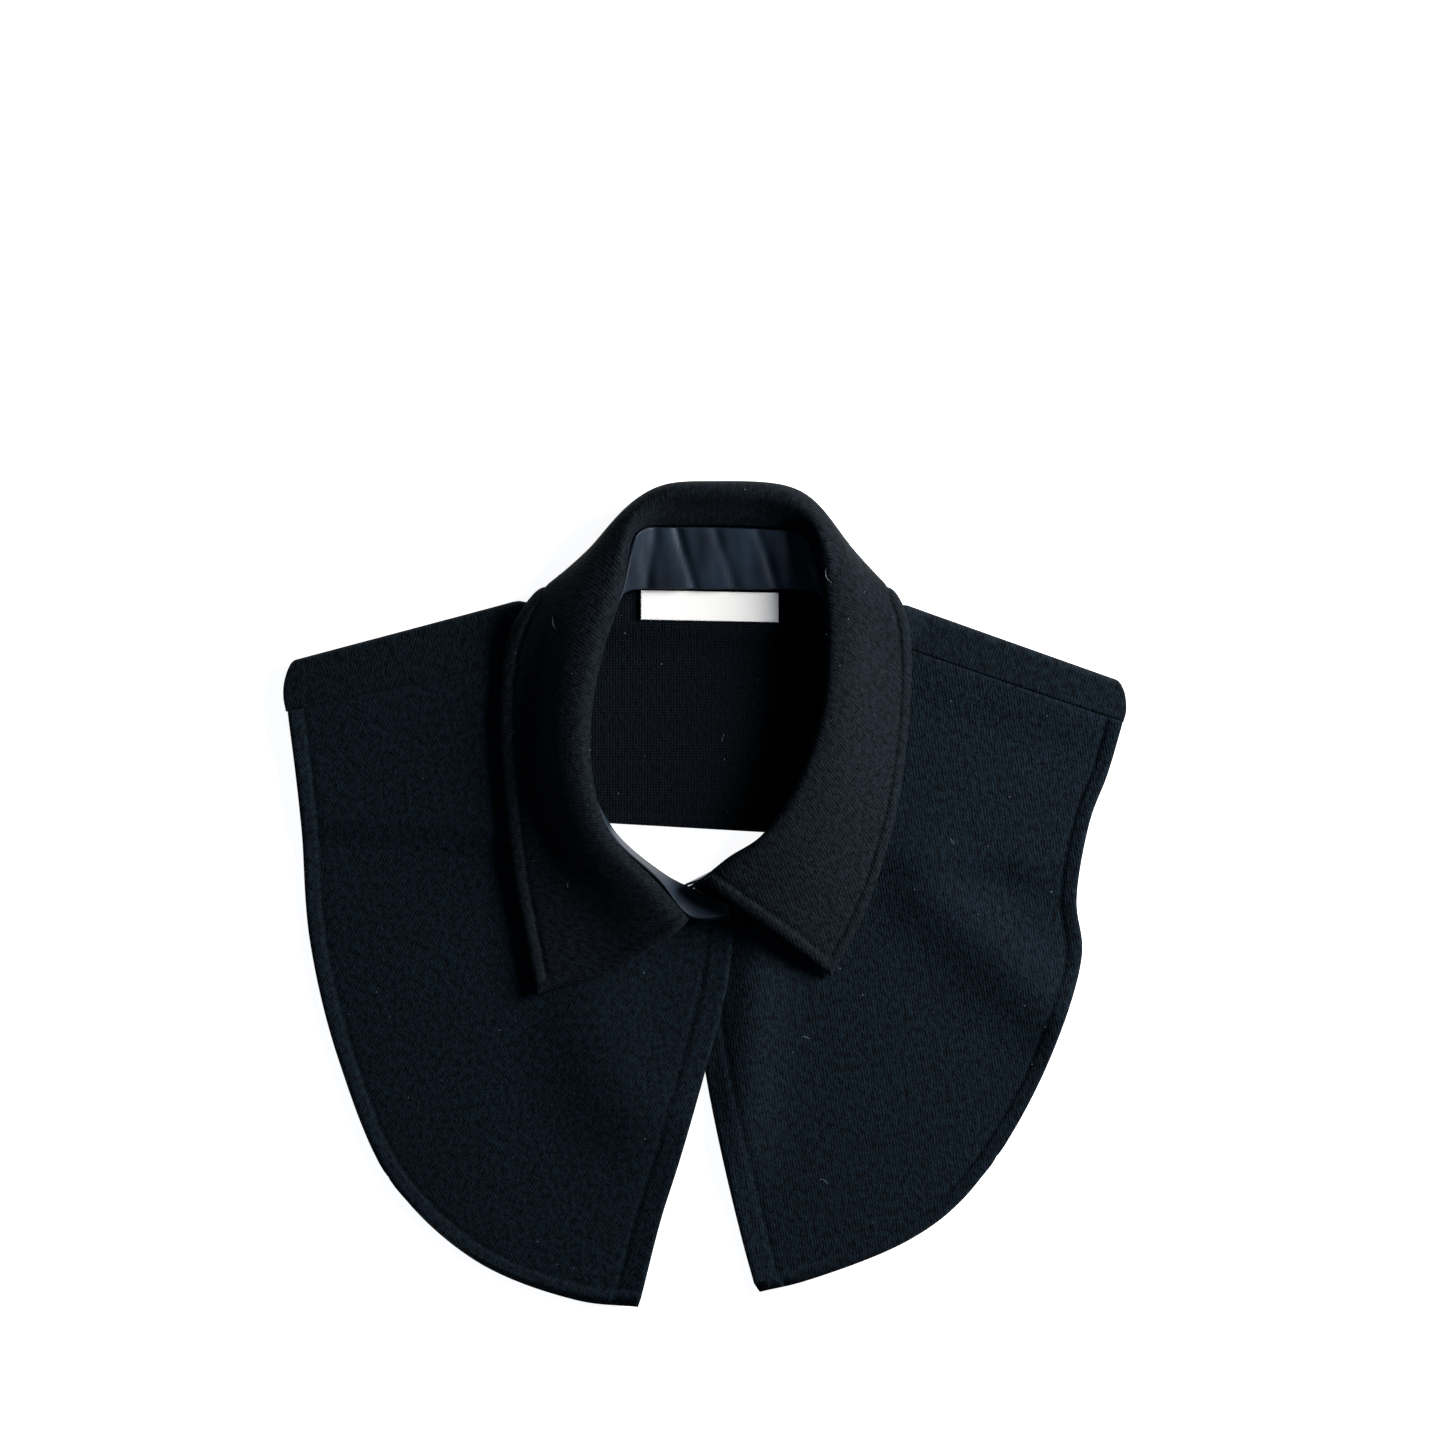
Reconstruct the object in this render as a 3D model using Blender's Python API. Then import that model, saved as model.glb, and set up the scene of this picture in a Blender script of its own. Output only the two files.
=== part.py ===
"""A detachable shirt collar: a fold-over collar on a stand, with two short fronts and a back.

It lies flat on its back and is fastened at the neck. X runs to the viewer's right, Y towards
the back of the neck and Z up. The origin is on the table, under the middle of the outline.
Lengths are in millimetres here and become metres when a mesh is made.
"""

import math

import bpy
import numpy as np

MM = 0.001
CURVE_STEPS = 600  # points on a curve that is measured along its length

# Cloth
PANEL_WALL = 1.8  # fronts and back
LEAF_WALL = 2.2  # two layers of cloth and an interlining
STAND_WALL = 1.3
LINING_WALL = 1.0
LABEL_WALL = 1.0
SEAM_GAP = 0.3
LAYER_GAP = 0.4  # between panels that lie on each other
TABLE_Z = PANEL_WALL / 2  # middle of a panel that lies on the table

# Shoulder line, where the back is rolled to the front
FOLD_RADIUS = 1.9
LEFT_FOLD = {"x": -66.0, "y": 113.2, "slope": 0.266}
RIGHT_FOLD = {"x": 74.1, "y": 111.0, "slope": -0.355}
LEFT_SEAM = {"x": -79.0, "y": 87.4, "slope": 0.222}
RIGHT_SEAM = {"x": 78.0, "y": 93.1, "slope": -0.340}

# Back hem, which shows in the neck and is a little askew
BACK_HEM = {"x": -8.0, "y": 25.6, "slope": -0.058}
BACK_NECK_Y = 116.6
NECK_CORNER_X = {"left": -38.0, "right": 49.0}
# Under the leaf the shoulder fold is drawn in, so that the leaf can pass round it
FOLD_TUCK = {"left": -72.0, "right": 77.0, "run": 8.0, "depth": 2.8}

# The collar's leaf passes under the back, which is lifted over it
UNDER_LEAF = {"middle_x": 3.0, "half_width": 70.0, "edge_y": 104.0, "run": 12.0}
LEAF_LIFT = LEAF_WALL + 0.9

# Outer edges of the back below the shoulder line: height on the table, x
BACK_SIDE_LEFT = ((34.0, -147.0), (60.0, -153.0), (83.0, -154.2))
BACK_SIDE_RIGHT = ((17.5, 139.0), (40.0, 146.5), (62.0, 152.0), (76.0, 154.4))
# How far the rolled shoulder stands out from the fold to the seam: share of the way, x
ROLL_SIDE_LEFT = (
    (0.0, -154.2),
    (0.15, -156.2),
    (0.3, -158.2),
    (0.5, -159.7),
    (0.75, -160.0),
    (1.0, -159.0),
)
ROLL_SIDE_RIGHT = (
    (0.0, 154.4),
    (0.15, 156.8),
    (0.3, 158.9),
    (0.5, 159.8),
    (0.75, 159.9),
    (1.0, 158.8),
)

# Armhole edge and round hem of each front, from the shoulder seam to the hem corner: x, y
LEFT_OUTER = (
    (-158.3, 69.6),
    (-153.5, 28.5),
    (-150.1, -17.1),
    (-139.1, -62.7),
    (-119.3, -108.3),
    (-87.4, -138.7),
    (-48.6, -153.9),
    (-25.4, -156.4),
)
RIGHT_OUTER = (
    (158.5, 65.4),
    (152.9, 46.0),
    (146.3, 28.5),
    (141.2, -1.9),
    (143.3, -22.0),
    (133.8, -55.1),
    (119.3, -85.5),
    (97.6, -115.9),
    (77.0, -131.3),
    (38.0, -146.6),
    (20.8, -150.6),
)
# Centre front edges, from the neck to the hem corner: x, y
LEFT_CENTRE = (
    (11.4, -8.7),
    (8.4, -34.2),
    (-0.8, -70.3),
    (-9.5, -100.7),
    (-16.7, -123.5),
    (-24.2, -153.0),
)
RIGHT_CENTRE = (
    (-7.0, 1.0),
    (-6.5, -8.0),
    (-4.0, -40.0),
    (0.6, -70.3),
    (6.8, -100.7),
    (14.1, -131.1),
    (18.6, -147.5),
)
HEM_SPLIT = 0.62  # share of the outer edge that a front's side takes, the rest being its hem
FRONT_COLUMNS = 15
NECK_ROWS = 9
CENTRE_ROWS = 13
NECK_MARGIN = 1.7  # from the middle of the stand's foot to a panel's neck edge
NECK_CENTRE = (2.0, 60.0)
NECK_START = 6.0  # below the shoulder seam, where a front's neck edge begins to follow the stand
# Where a front climbs: onto the back from its hem, and up to the roll of the shoulder below the seam
HEM_STEP = {"below": 16.0, "run": 13.0}
ROLL_STEP = {"below": 22.0, "run": 20.0}
# Where the left front climbs onto the right one, and where the lap ends towards hem and neck
LAP = {"before": 72.0, "run": 50.0, "lift": PANEL_WALL + 2 * LAYER_GAP}
LAP_HEM = {"y": -104.0, "run": 26.0}
LAP_NECK = {"y": 13.0, "run": 12.0}

BACK_ROWS = 9
BACK_COLUMNS = 11
BACK_MIDDLE_COLUMNS = 9
BEND_DROP = 3.0  # from the bend at the shoulder to the last row of the stretch on the table
TURN_ROWS = 7  # round the shoulder fold
TOP_ROWS = 4  # from the fold to the seam
TURN_OUT = 0.3  # share of the roll's outward swing that is reached at the end of the turn

# Soft folds in the fronts: ends, half width and height
FOLD_TAPER = {"rate": 3.0, "start": 0.6}
FRONT_FOLDS = {
    "left": (
        {"from": (-50.0, -40.0), "to": (-18.0, -104.0), "half": 25.0, "height": 1.7},
        {"from": (21.0, -4.0), "to": (13.0, -104.0), "half": 17.0, "height": 2.6},
    ),
    "right": (
        {"from": (21.0, -4.0), "to": (13.0, -104.0), "half": 17.0, "height": 2.6},
        {"from": (78.0, 8.0), "to": (143.0, -55.0), "half": 19.0, "height": 3.4},
        {"from": (118.0, 10.0), "to": (146.0, -2.0), "half": 9.0, "height": 0.8},
    ),
}

# Collar sections, from the left front end round the back of the neck to the right front end.
# foot, top: the stand's lower and upper edge. crest, outer, middle, edge: across the leaf.
# Each is x, y, z.
SECTION_COLUMNS = ("foot", "top", "crest", "outer", "middle", "edge")
SHOULDER_SECTION = {"left": 5, "right": 15}  # the section at each shoulder seam
SECTIONS = (
    # left front end
    (
        (-2.6, 1.4, 5.4), (-5.9, -9.0, 11.6), (-9.6, -12.8, 12.8),
        (-16.0, -17.2, 11.4), (-36.0, -28.4, 7.0), (-64.0, -37.6, 4.7),
    ),
    (
        (-15.6, 7.3, 4.4), (-18.4, 5.4, 13.2), (-21.6, 3.4, 15.2),
        (-27.4, 0.0, 13.8), (-41.0, -8.6, 7.4), (-68.4, -15.4, 4.2),
    ),
    (
        (-34.4, 23.2, 4.7), (-35.6, 23.0, 14.6), (-38.8, 21.4, 17.2),
        (-44.4, 18.8, 15.8), (-55.4, 13.8, 7.4), (-72.4, 5.8, 4.6),
    ),
    (
        (-45.0, 43.5, 4.7), (-42.6, 45.4, 16.4), (-46.2, 44.8, 19.4),
        (-53.4, 43.4, 18.2), (-64.4, 40.6, 8.4), (-76.0, 36.6, 5.9),
    ),
    (
        (-48.2, 68.5, 4.6), (-42.8, 70.2, 16.8), (-46.8, 70.2, 19.8),
        (-54.6, 69.8, 18.6), (-66.2, 68.0, 9.0), (-78.0, 64.8, 6.0),
    ),
    (
        (-46.5, 90.5, 6.3), (-38.2, 93.1, 17.2), (-42.4, 94.0, 20.2),
        (-50.8, 94.2, 19.2), (-63.0, 92.0, 11.8), (-76.8, 87.8, 7.5),
    ),
    # left shoulder
    (
        (-39.0, 109.0, 9.6), (-31.0, 115.8, 17.2), (-35.2, 118.2, 20.4),
        (-43.0, 118.0, 19.4), (-55.4, 112.8, 15.2), (-72.0, 104.0, 9.8),
    ),
    (
        (-29.6, 115.8, 7.9), (-27.6, 136.8, 14.2), (-28.2, 141.2, 19.6),
        (-31.8, 142.6, 17.6), (-46.0, 128.0, 10.2), (-64.0, 113.4, 8.0),
    ),
    (
        (-25.5, 116.2, 7.1), (-23.2, 140.2, 11.0), (-21.8, 148.2, 20.0),
        (-23.4, 150.8, 16.4), (-36.8, 137.2, 2.4), (-59.0, 112.4, 1.2),
    ),
    (
        (-19.0, 116.3, 6.8), (-15.6, 140.4, 9.8), (-14.2, 151.6, 20.4),
        (-15.0, 154.8, 16.8), (-25.0, 147.6, 1.6), (-48.0, 108.6, 1.1),
    ),
    # middle of the back
    (
        (3.5, 116.3, 6.7), (3.5, 140.4, 9.4), (3.5, 152.6, 20.8),
        (3.5, 155.7, 17.0), (3.5, 149.8, 1.6), (3.5, 105.6, 1.1),
    ),
    (
        (28.5, 116.2, 6.8), (25.6, 139.6, 9.8), (25.8, 151.2, 20.4),
        (27.6, 154.8, 16.8), (35.0, 147.6, 1.6), (54.0, 108.6, 1.1),
    ),
    (
        (35.5, 116.1, 7.1), (34.8, 138.8, 11.0), (35.8, 147.8, 20.0),
        (38.6, 151.0, 16.4), (49.0, 137.2, 2.4), (66.0, 112.0, 1.2),
    ),
    (
        (42.0, 115.4, 7.9), (40.0, 135.6, 14.8), (42.0, 141.2, 19.8),
        (46.2, 141.2, 17.6), (56.2, 130.0, 10.2), (71.8, 113.2, 8.0),
    ),
    # right shoulder
    (
        (50.0, 108.6, 9.6), (44.6, 115.4, 18.8), (47.4, 117.2, 20.6),
        (54.2, 116.4, 19.8), (64.8, 111.6, 15.6), (77.2, 102.8, 9.9),
    ),
    (
        (54.6, 91.0, 6.0), (46.0, 95.8, 20.0), (48.6, 95.8, 21.2),
        (56.2, 94.6, 19.8), (67.6, 91.2, 13.4), (78.4, 85.6, 7.4),
    ),
    (
        (51.6, 67.0, 4.6), (44.2, 71.0, 20.2), (46.8, 70.2, 21.2),
        (54.2, 67.9, 19.8), (65.8, 63.8, 13.4), (76.6, 59.6, 5.9),
    ),
    (
        (41.4, 39.8, 4.6), (35.0, 43.4, 19.8), (37.4, 42.0, 21.0),
        (45.0, 38.2, 19.6), (57.6, 32.6, 13.6), (71.6, 27.4, 6.1),
    ),
    (
        (24.2, 20.4, 4.4), (21.4, 22.6, 18.6), (23.8, 20.6, 19.8),
        (30.2, 15.4, 18.6), (43.6, 6.4, 14.0), (61.4, -5.0, 4.9),
    ),
    (
        (10.5, 12.2, 3.0), (9.6, 14.0, 17.2), (12.0, 12.0, 18.4),
        (18.4, 6.8, 17.6), (32.4, -3.4, 14.2), (55.0, -18.0, 4.0),
    ),
    # right front end
    (
        (-1.8, 5.8, 3.2), (-1.0, 5.6, 14.6), (2.2, 3.4, 16.4),
        (8.2, -0.9, 16.2), (26.0, -13.6, 13.0), (47.8, -30.8, 3.6),
    ),
)
# How far the stand's top is tucked out under the roll, for each section
STAND_TUCK = (
    *(0.0, 0.0, 0.5, 1.1, 1.2, 1.2, 1.0, 0.3, 0.0, 0.0),
    *(0.0, 0.0, 0.0, 0.3, 0.8, 1.2, 1.2, 1.1, 0.6, 0.0, 0.0),
)
# The stand runs past the leaf at each front end: foot and top there. x, y, z
LEFT_EXTENSION = ((8.6, -4.6, 5.4), (9.8, -8.6, 10.4))
RIGHT_EXTENSION = ((-7.4, 3.2, 9.4), (-6.8, 3.6, 13.0))
LEAF_COLUMNS = 53
LEAF_ROW_SHARES = (0.0, 0.07, 0.14, 0.21, 0.28, 0.35, 0.43, 0.52, 0.64, 0.76, 0.88, 1.0)
STAND_COLUMNS = 91
STAND_ROWS = 4
STAND_TRIM = 1.8  # from the stand's top to the line where the leaf begins

# Gathers in the satin lining at the back of the neck: x, width, height, lean of the lower end
GATHERS = (
    (-22.0, 4.6, 0.7, 1.5),
    (-15.5, 3.6, 0.6, 2.0),
    (-8.5, 4.4, 0.8, 4.0),
    (-1.0, 4.2, 0.7, 5.5),
    (8.0, 4.8, 0.7, 4.0),
    (15.5, 3.6, 0.5, 3.5),
    (24.0, 4.6, 0.7, 6.0),
)
GATHER_START = {"y": 108.0, "run": 8.0}

# Woven label at the back neck seam
LABEL = {"left": -24.5, "right": 27.9, "top": 115.8, "height": 11.3, "skew": -0.020}
LABEL_COLUMNS = 7

BLACK_WOOL = {"color": (0.012, 0.013, 0.017), "roughness": 0.92}
BLACK_SATIN = {"color": (0.022, 0.028, 0.040), "roughness": 0.38}
WHITE_TAPE = {"color": (0.86, 0.86, 0.85), "roughness": 0.75}


def clear_scene():
    for item in list(bpy.data.objects):
        bpy.data.objects.remove(item, do_unlink=True)


def finish(name, color, roughness):
    """A plain Principled material."""
    material = bpy.data.materials.new(name)
    material.use_nodes = True
    shader = material.node_tree.nodes["Principled BSDF"]
    shader.inputs["Base Color"].default_value = (*color, 1.0)
    shader.inputs["Roughness"].default_value = roughness
    shader.inputs["Metallic"].default_value = 0.0
    return material


def step_up(value):
    """Rises smoothly from 0 to 1 as value goes from 0 to 1."""
    share = np.clip(value, 0.0, 1.0)
    return share * share * (3.0 - 2.0 * share)


def through(knots, rows, places):
    """The smooth curve that passes through rows at knots, read at places."""
    knots = np.asarray(knots, float)
    rows = np.asarray(rows, float)
    slopes = np.gradient(rows, knots, axis=0)
    places = np.atleast_1d(np.asarray(places, float))
    start = np.clip(np.searchsorted(knots, places, side="right") - 1, 0, len(knots) - 2)
    spread = (len(places),) + (1,) * (rows.ndim - 1)
    step = (knots[start + 1] - knots[start]).reshape(spread)
    t = ((places - knots[start]) / (knots[start + 1] - knots[start])).reshape(spread)
    return (
        (2 * t**3 - 3 * t**2 + 1) * rows[start]
        + (t**3 - 2 * t**2 + t) * step * slopes[start]
        + (3 * t**2 - 2 * t**3) * rows[start + 1]
        + (t**3 - t**2) * step * slopes[start + 1]
    )


def spaced_knots(rows):
    """Knots for rows, further apart where the rows are."""
    rows = np.asarray(rows, float)
    chords = np.linalg.norm(np.diff(rows, axis=0), axis=1)
    return np.concatenate([[0.0], np.cumsum(np.sqrt(chords))])


def along(rows, shares):
    """Points at shares of the length of the smooth curve through rows."""
    knots = spaced_knots(rows)
    dense = through(knots, rows, np.linspace(0.0, knots[-1], CURVE_STEPS))
    length = np.concatenate([[0.0], np.cumsum(np.linalg.norm(np.diff(dense, axis=0), axis=1))])
    wanted = np.asarray(shares, float) * length[-1]
    return np.stack([np.interp(wanted, length, dense[:, k]) for k in range(dense.shape[1])], axis=1)


def line_at(line, x):
    return line["y"] + line["slope"] * (x - line["x"])


def bend_at(side, x):
    """Where the back leaves the table to roll over the shoulder."""
    fold = LEFT_FOLD if side == "left" else RIGHT_FOLD
    inward = 1.0 if side == "left" else -1.0
    tuck = FOLD_TUCK["depth"] * step_up(inward * (x - FOLD_TUCK[side]) / FOLD_TUCK["run"])
    return line_at(fold, x) - tuck - PANEL_WALL / 2 - FOLD_RADIUS


def grid_faces(columns, rows, first=0):
    """Quads of a grid of points listed column by column."""
    faces = []
    for i in range(columns - 1):
        for j in range(rows - 1):
            corner = first + i * rows + j
            faces.append((corner, corner + rows, corner + rows + 1, corner + 1))
    return faces


def grid_normals(points):
    """Unit normals at the points of a grid."""
    across = np.gradient(points, axis=0)
    down = np.gradient(points, axis=1)
    normals = np.cross(across, down)
    return normals / np.linalg.norm(normals, axis=2, keepdims=True)


def cloth(name, blocks, wall, material):
    """A closed wall of cloth round a middle surface of grids of points, joined where they meet."""
    points = np.concatenate([block.reshape(-1, 3) for block in blocks])
    faces = []
    first = 0
    for block in blocks:
        faces += grid_faces(block.shape[0], block.shape[1], first)
        first += block.shape[0] * block.shape[1]
    _, keep, index = np.unique(np.round(points, 4), axis=0, return_index=True, return_inverse=True)
    index = index.reshape(-1)
    faces = [tuple(int(index[k]) for k in face) for face in faces]
    mesh = bpy.data.meshes.new(name)
    mesh.from_pydata((points[keep] * MM).tolist(), [], faces)
    mesh.materials.append(material)
    mesh.shade_smooth()
    item = bpy.data.objects.new(name, mesh)
    bpy.context.scene.collection.objects.link(item)
    solid = item.modifiers.new("wall", "SOLIDIFY")
    solid.thickness = wall * MM
    solid.offset = 0.0
    solid.use_quality_normals = True
    return item


def lift_over_leaf(x, y):
    """How far the leaf under the back lifts what lies on it."""
    inside_y = step_up((y - UNDER_LEAF["edge_y"]) / UNDER_LEAF["run"] + 1.0)
    reach = UNDER_LEAF["half_width"] + UNDER_LEAF["run"] - np.abs(x - UNDER_LEAF["middle_x"])
    return LEAF_LIFT * inside_y * step_up(reach / UNDER_LEAF["run"])


def fold_height(side, x, y):
    """Height of a front's soft folds, which taper to their ends."""
    height = np.zeros_like(x)
    for fold in FRONT_FOLDS[side]:
        start = np.array(fold["from"])
        run = np.array(fold["to"]) - start
        length = np.linalg.norm(run)
        run = run / length
        share = ((x - start[0]) * run[0] + (y - start[1]) * run[1]) / length
        off = ((x - start[0]) * -run[1] + (y - start[1]) * run[0]) / fold["half"]
        rate, start_share = FOLD_TAPER["rate"], FOLD_TAPER["start"]
        taper = step_up(share * rate + start_share) * step_up((1.0 - share) * rate + start_share)
        height += fold["height"] * taper * np.exp(-2.0 * off**2)
    return height


def front_height(side, x, y):
    """Middle of a front above the table: flat below the back's hem, then on the back, up to the seam."""
    seam = LEFT_SEAM if side == "left" else RIGHT_SEAM
    on_back = PANEL_WALL + SEAM_GAP
    to_roll = 2.0 * FOLD_RADIUS - on_back
    above_hem = y - line_at(BACK_HEM, x) + HEM_STEP["below"]
    above_step = y - line_at(seam, x) + ROLL_STEP["below"]
    height = TABLE_Z + on_back * step_up(above_hem / HEM_STEP["run"])
    height += to_roll * step_up(above_step / ROLL_STEP["run"])
    height += lift_over_leaf(x, y) + fold_height(side, x, y)
    if side == "left":
        height += lap_height(x, y)
    return height


def lap_height(x, y):
    """How far the left front is lifted where it lies on the right one."""
    levels = [-row[1] for row in RIGHT_CENTRE]
    under = np.interp(-y, levels, [row[0] for row in RIGHT_CENTRE])
    climb = step_up((x - under + LAP["before"]) / LAP["run"])
    to_hem = step_up((y - LAP_HEM["y"]) / LAP_HEM["run"])
    to_neck = step_up((LAP_NECK["y"] - y) / LAP_NECK["run"])
    return LAP["lift"] * climb * to_hem * to_neck


def neck_line(side):
    """The edge that a panel's neck follows on one side, from the shoulder to the centre front: x, y."""
    feet = section_column("foot")[:, :2]
    start = SHOULDER_SECTION[side]
    feet = feet[start::-1] if side == "left" else feet[start:]
    return moved_out(feet, NECK_MARGIN)


def moved_out(rows, distance):
    """Rows of x, y moved away from the middle of the neck, square to their own run."""
    run = np.gradient(rows, axis=0)
    out = np.stack([run[:, 1], -run[:, 0]], axis=1)
    out /= np.linalg.norm(out, axis=1, keepdims=True)
    turned = np.sum(out * (rows - np.array(NECK_CENTRE)), axis=1) < 0
    out[turned] *= -1
    return rows + distance * out


def front_inner_edge(side):
    """A front's neck edge from the shoulder seam, and then its centre edge down to the hem: x, y."""
    centre_edge = LEFT_CENTRE if side == "left" else RIGHT_CENTRE
    seam = LEFT_SEAM if side == "left" else RIGHT_SEAM
    neck = neck_line(side)
    corner = neck[0].copy()
    corner[1] = line_at(seam, corner[0]) - SEAM_GAP
    neck = neck[neck[:, 1] < corner[1] - NECK_START]
    if side == "left":
        neck = neck[:-1]  # the lap covers the last one
    neck = np.vstack([corner, neck, centre_edge[0]])
    neck_part = along(neck, np.linspace(0, 1, NECK_ROWS))
    centre_part = along(centre_edge, np.linspace(0, 1, CENTRE_ROWS))
    return np.vstack([neck_part, centre_part[1:]])


def front(side, material):
    """One front: a patch between its shoulder seam, armhole edge, hem, and neck and centre edges."""
    outer = LEFT_OUTER if side == "left" else RIGHT_OUTER
    inner = front_inner_edge(side)
    rows = len(inner)
    side_edge = along(outer, np.linspace(0, HEM_SPLIT, rows))
    hem = along(outer, np.linspace(HEM_SPLIT, 1, FRONT_COLUMNS))
    inner[-1] = hem[-1]
    share = np.linspace(0, 1, FRONT_COLUMNS)
    top = side_edge[0] + share[:, None] * (inner[0] - side_edge[0])
    u = share[:, None, None]
    v = np.linspace(0, 1, rows)[None, :, None]
    flat = (
        (1 - v) * top[:, None]
        + v * hem[:, None]
        + (1 - u) * side_edge[None]
        + u * inner[None]
        - (1 - u) * (1 - v) * side_edge[0]
        - u * (1 - v) * inner[0]
        - (1 - u) * v * side_edge[-1]
        - u * v * inner[-1]
    )
    height = front_height(side, flat[..., 0], flat[..., 1])
    points = np.concatenate([flat, height[..., None]], axis=2)
    return cloth(f"front_{side}", [points], PANEL_WALL, material)


def back_flat(side):
    """The back's stretch on the table on one side of the neck, from its outer edge to the neck's corner.

    Its last row is the bend at the shoulder. The row before it ends level with the back of the neck.
    """
    edge = np.array(BACK_SIDE_LEFT if side == "left" else BACK_SIDE_RIGHT)
    neck_x = NECK_CORNER_X[side]
    share = np.linspace(0, 1, BACK_ROWS)
    flat = np.zeros((BACK_COLUMNS, BACK_ROWS + 1, 3))
    for i, u in enumerate(np.linspace(0, 1, BACK_COLUMNS)):
        low = line_at(BACK_HEM, edge[0, 1] + (neck_x - edge[0, 1]) * u)
        high = bend_at(side, edge[-1, 1] + (neck_x - edge[-1, 1]) * u)
        to_neck = BACK_NECK_Y - (bend_at(side, neck_x) - BEND_DROP)
        last = high - BEND_DROP + to_neck * u
        levels = np.append(low + (last - low) * share, high)
        edge_x = np.interp(levels, edge[:, 0], edge[:, 1])
        flat[i, :, 0] = edge_x + (neck_x - edge_x) * u
        flat[i, :, 1] = levels
    flat[..., 2] = TABLE_Z + lift_over_leaf(flat[..., 0], flat[..., 1])
    return flat


def back_roll(side, bend):
    """The back from the bend, round the shoulder fold (a half circle) and along the top to the seam."""
    seam = LEFT_SEAM if side == "left" else RIGHT_SEAM
    roll = np.array(ROLL_SIDE_LEFT if side == "left" else ROLL_SIDE_RIGHT)
    neck_x = NECK_CORNER_X[side]
    seam_neck_x = neck_line(side)[0, 0]
    turns = np.append(np.linspace(0, math.pi, TURN_ROWS), np.full(TOP_ROWS, math.pi))
    tops = np.append(np.zeros(TURN_ROWS), np.linspace(0, 1, TOP_ROWS + 1)[1:])
    over = np.zeros((BACK_COLUMNS, TURN_ROWS + TOP_ROWS, 3))
    for i, u in enumerate(np.linspace(0, 1, BACK_COLUMNS)):
        outward = TURN_OUT * turns / math.pi + (1.0 - TURN_OUT) * tops
        edge_x = through(roll[:, 0], roll[:, 1], outward)
        inner_x = neck_x + (seam_neck_x - neck_x) * tops
        x = edge_x + (inner_x - edge_x) * u
        bend_y = bend_at(side, x)
        y = bend_y + FOLD_RADIUS * np.sin(turns)
        y -= tops * (bend_y - line_at(seam, x) - SEAM_GAP / 2)
        lift = lift_over_leaf(x, np.minimum(y, bend_y))
        z = TABLE_Z + lift + FOLD_RADIUS * (1.0 - np.cos(turns))
        over[i] = np.stack([x, y, z], axis=1)
    over[:, 0] = bend
    return over


def back(material):
    """The back: one sheet under the neck, rolled over each shoulder to the seam in front."""
    flats = {side: back_flat(side) for side in ("left", "right")}
    rolls = {side: back_roll(side, flat[:, -1]) for side, flat in flats.items()}
    left, right = flats["left"][-1, :BACK_ROWS], flats["right"][-1, :BACK_ROWS]
    share = np.linspace(0, 1, BACK_MIDDLE_COLUMNS)[:, None, None]
    middle = left + (right - left) * share
    lift = lift_over_leaf(middle[1:-1, :, 0], middle[1:-1, :, 1])
    middle[1:-1, :, 2] = TABLE_Z + lift
    blocks = [flats["left"], rolls["left"], flats["right"][::-1], rolls["right"][::-1], middle]
    return cloth("back", blocks, PANEL_WALL, material)


def section_column(name):
    """One column of the sections, such as the stand's foot: x, y, z for each section."""
    return np.array(SECTIONS, float)[:, SECTION_COLUMNS.index(name)]


def section_places(count):
    """Knots of the sections and count places between them, evenly spaced along the crest."""
    knots = spaced_knots(section_column("crest"))
    dense = np.linspace(0, knots[-1], CURVE_STEPS)
    crest = through(knots, section_column("crest"), dense)
    length = np.concatenate([[0.0], np.cumsum(np.linalg.norm(np.diff(crest, axis=0), axis=1))])
    return knots, np.interp(np.linspace(0, length[-1], count), length, dense)


def leaf(material):
    """The fold-over leaf: up from the stand, over the roll and out to its edge."""
    across = np.array([along(row[1:], LEAF_ROW_SHARES) for row in SECTIONS])
    knots, places = section_places(LEAF_COLUMNS)
    points = through(knots, across, places)
    points[..., 2] = np.maximum(points[..., 2], LEAF_WALL / 2)
    return cloth("collar_leaf", [points], LEAF_WALL, material)


def stand_points():
    """Middle surface of the stand, from its foot to just under the leaf."""
    feet = np.vstack([LEFT_EXTENSION[0], section_column("foot"), RIGHT_EXTENSION[0]])
    tops = section_column("top")
    out = tops[:, :2] - np.array(NECK_CENTRE)
    out /= np.linalg.norm(out, axis=1, keepdims=True)
    tops[:, :2] += out * np.array(STAND_TUCK)[:, None]
    tops = np.vstack([LEFT_EXTENSION[1], tops, RIGHT_EXTENSION[1]])
    knots = spaced_knots(tops)
    places = np.linspace(0, knots[-1], STAND_COLUMNS)
    foot = through(knots, feet, places)
    top = through(knots, tops, places)
    height = np.linalg.norm(top - foot, axis=1, keepdims=True)
    top = top - (top - foot) / height * STAND_TRIM
    share = np.linspace(0, 1, STAND_ROWS)[None, :, None]
    return foot[:, None] * (1 - share) + top[:, None] * share


def stand(material):
    """The stand's wool, on the outer side of its surface."""
    points = stand_points()
    outward = -grid_normals(points)
    away = STAND_WALL / 2 + SEAM_GAP / 2
    return cloth("collar_stand", [points + outward * away], STAND_WALL, material)


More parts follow.
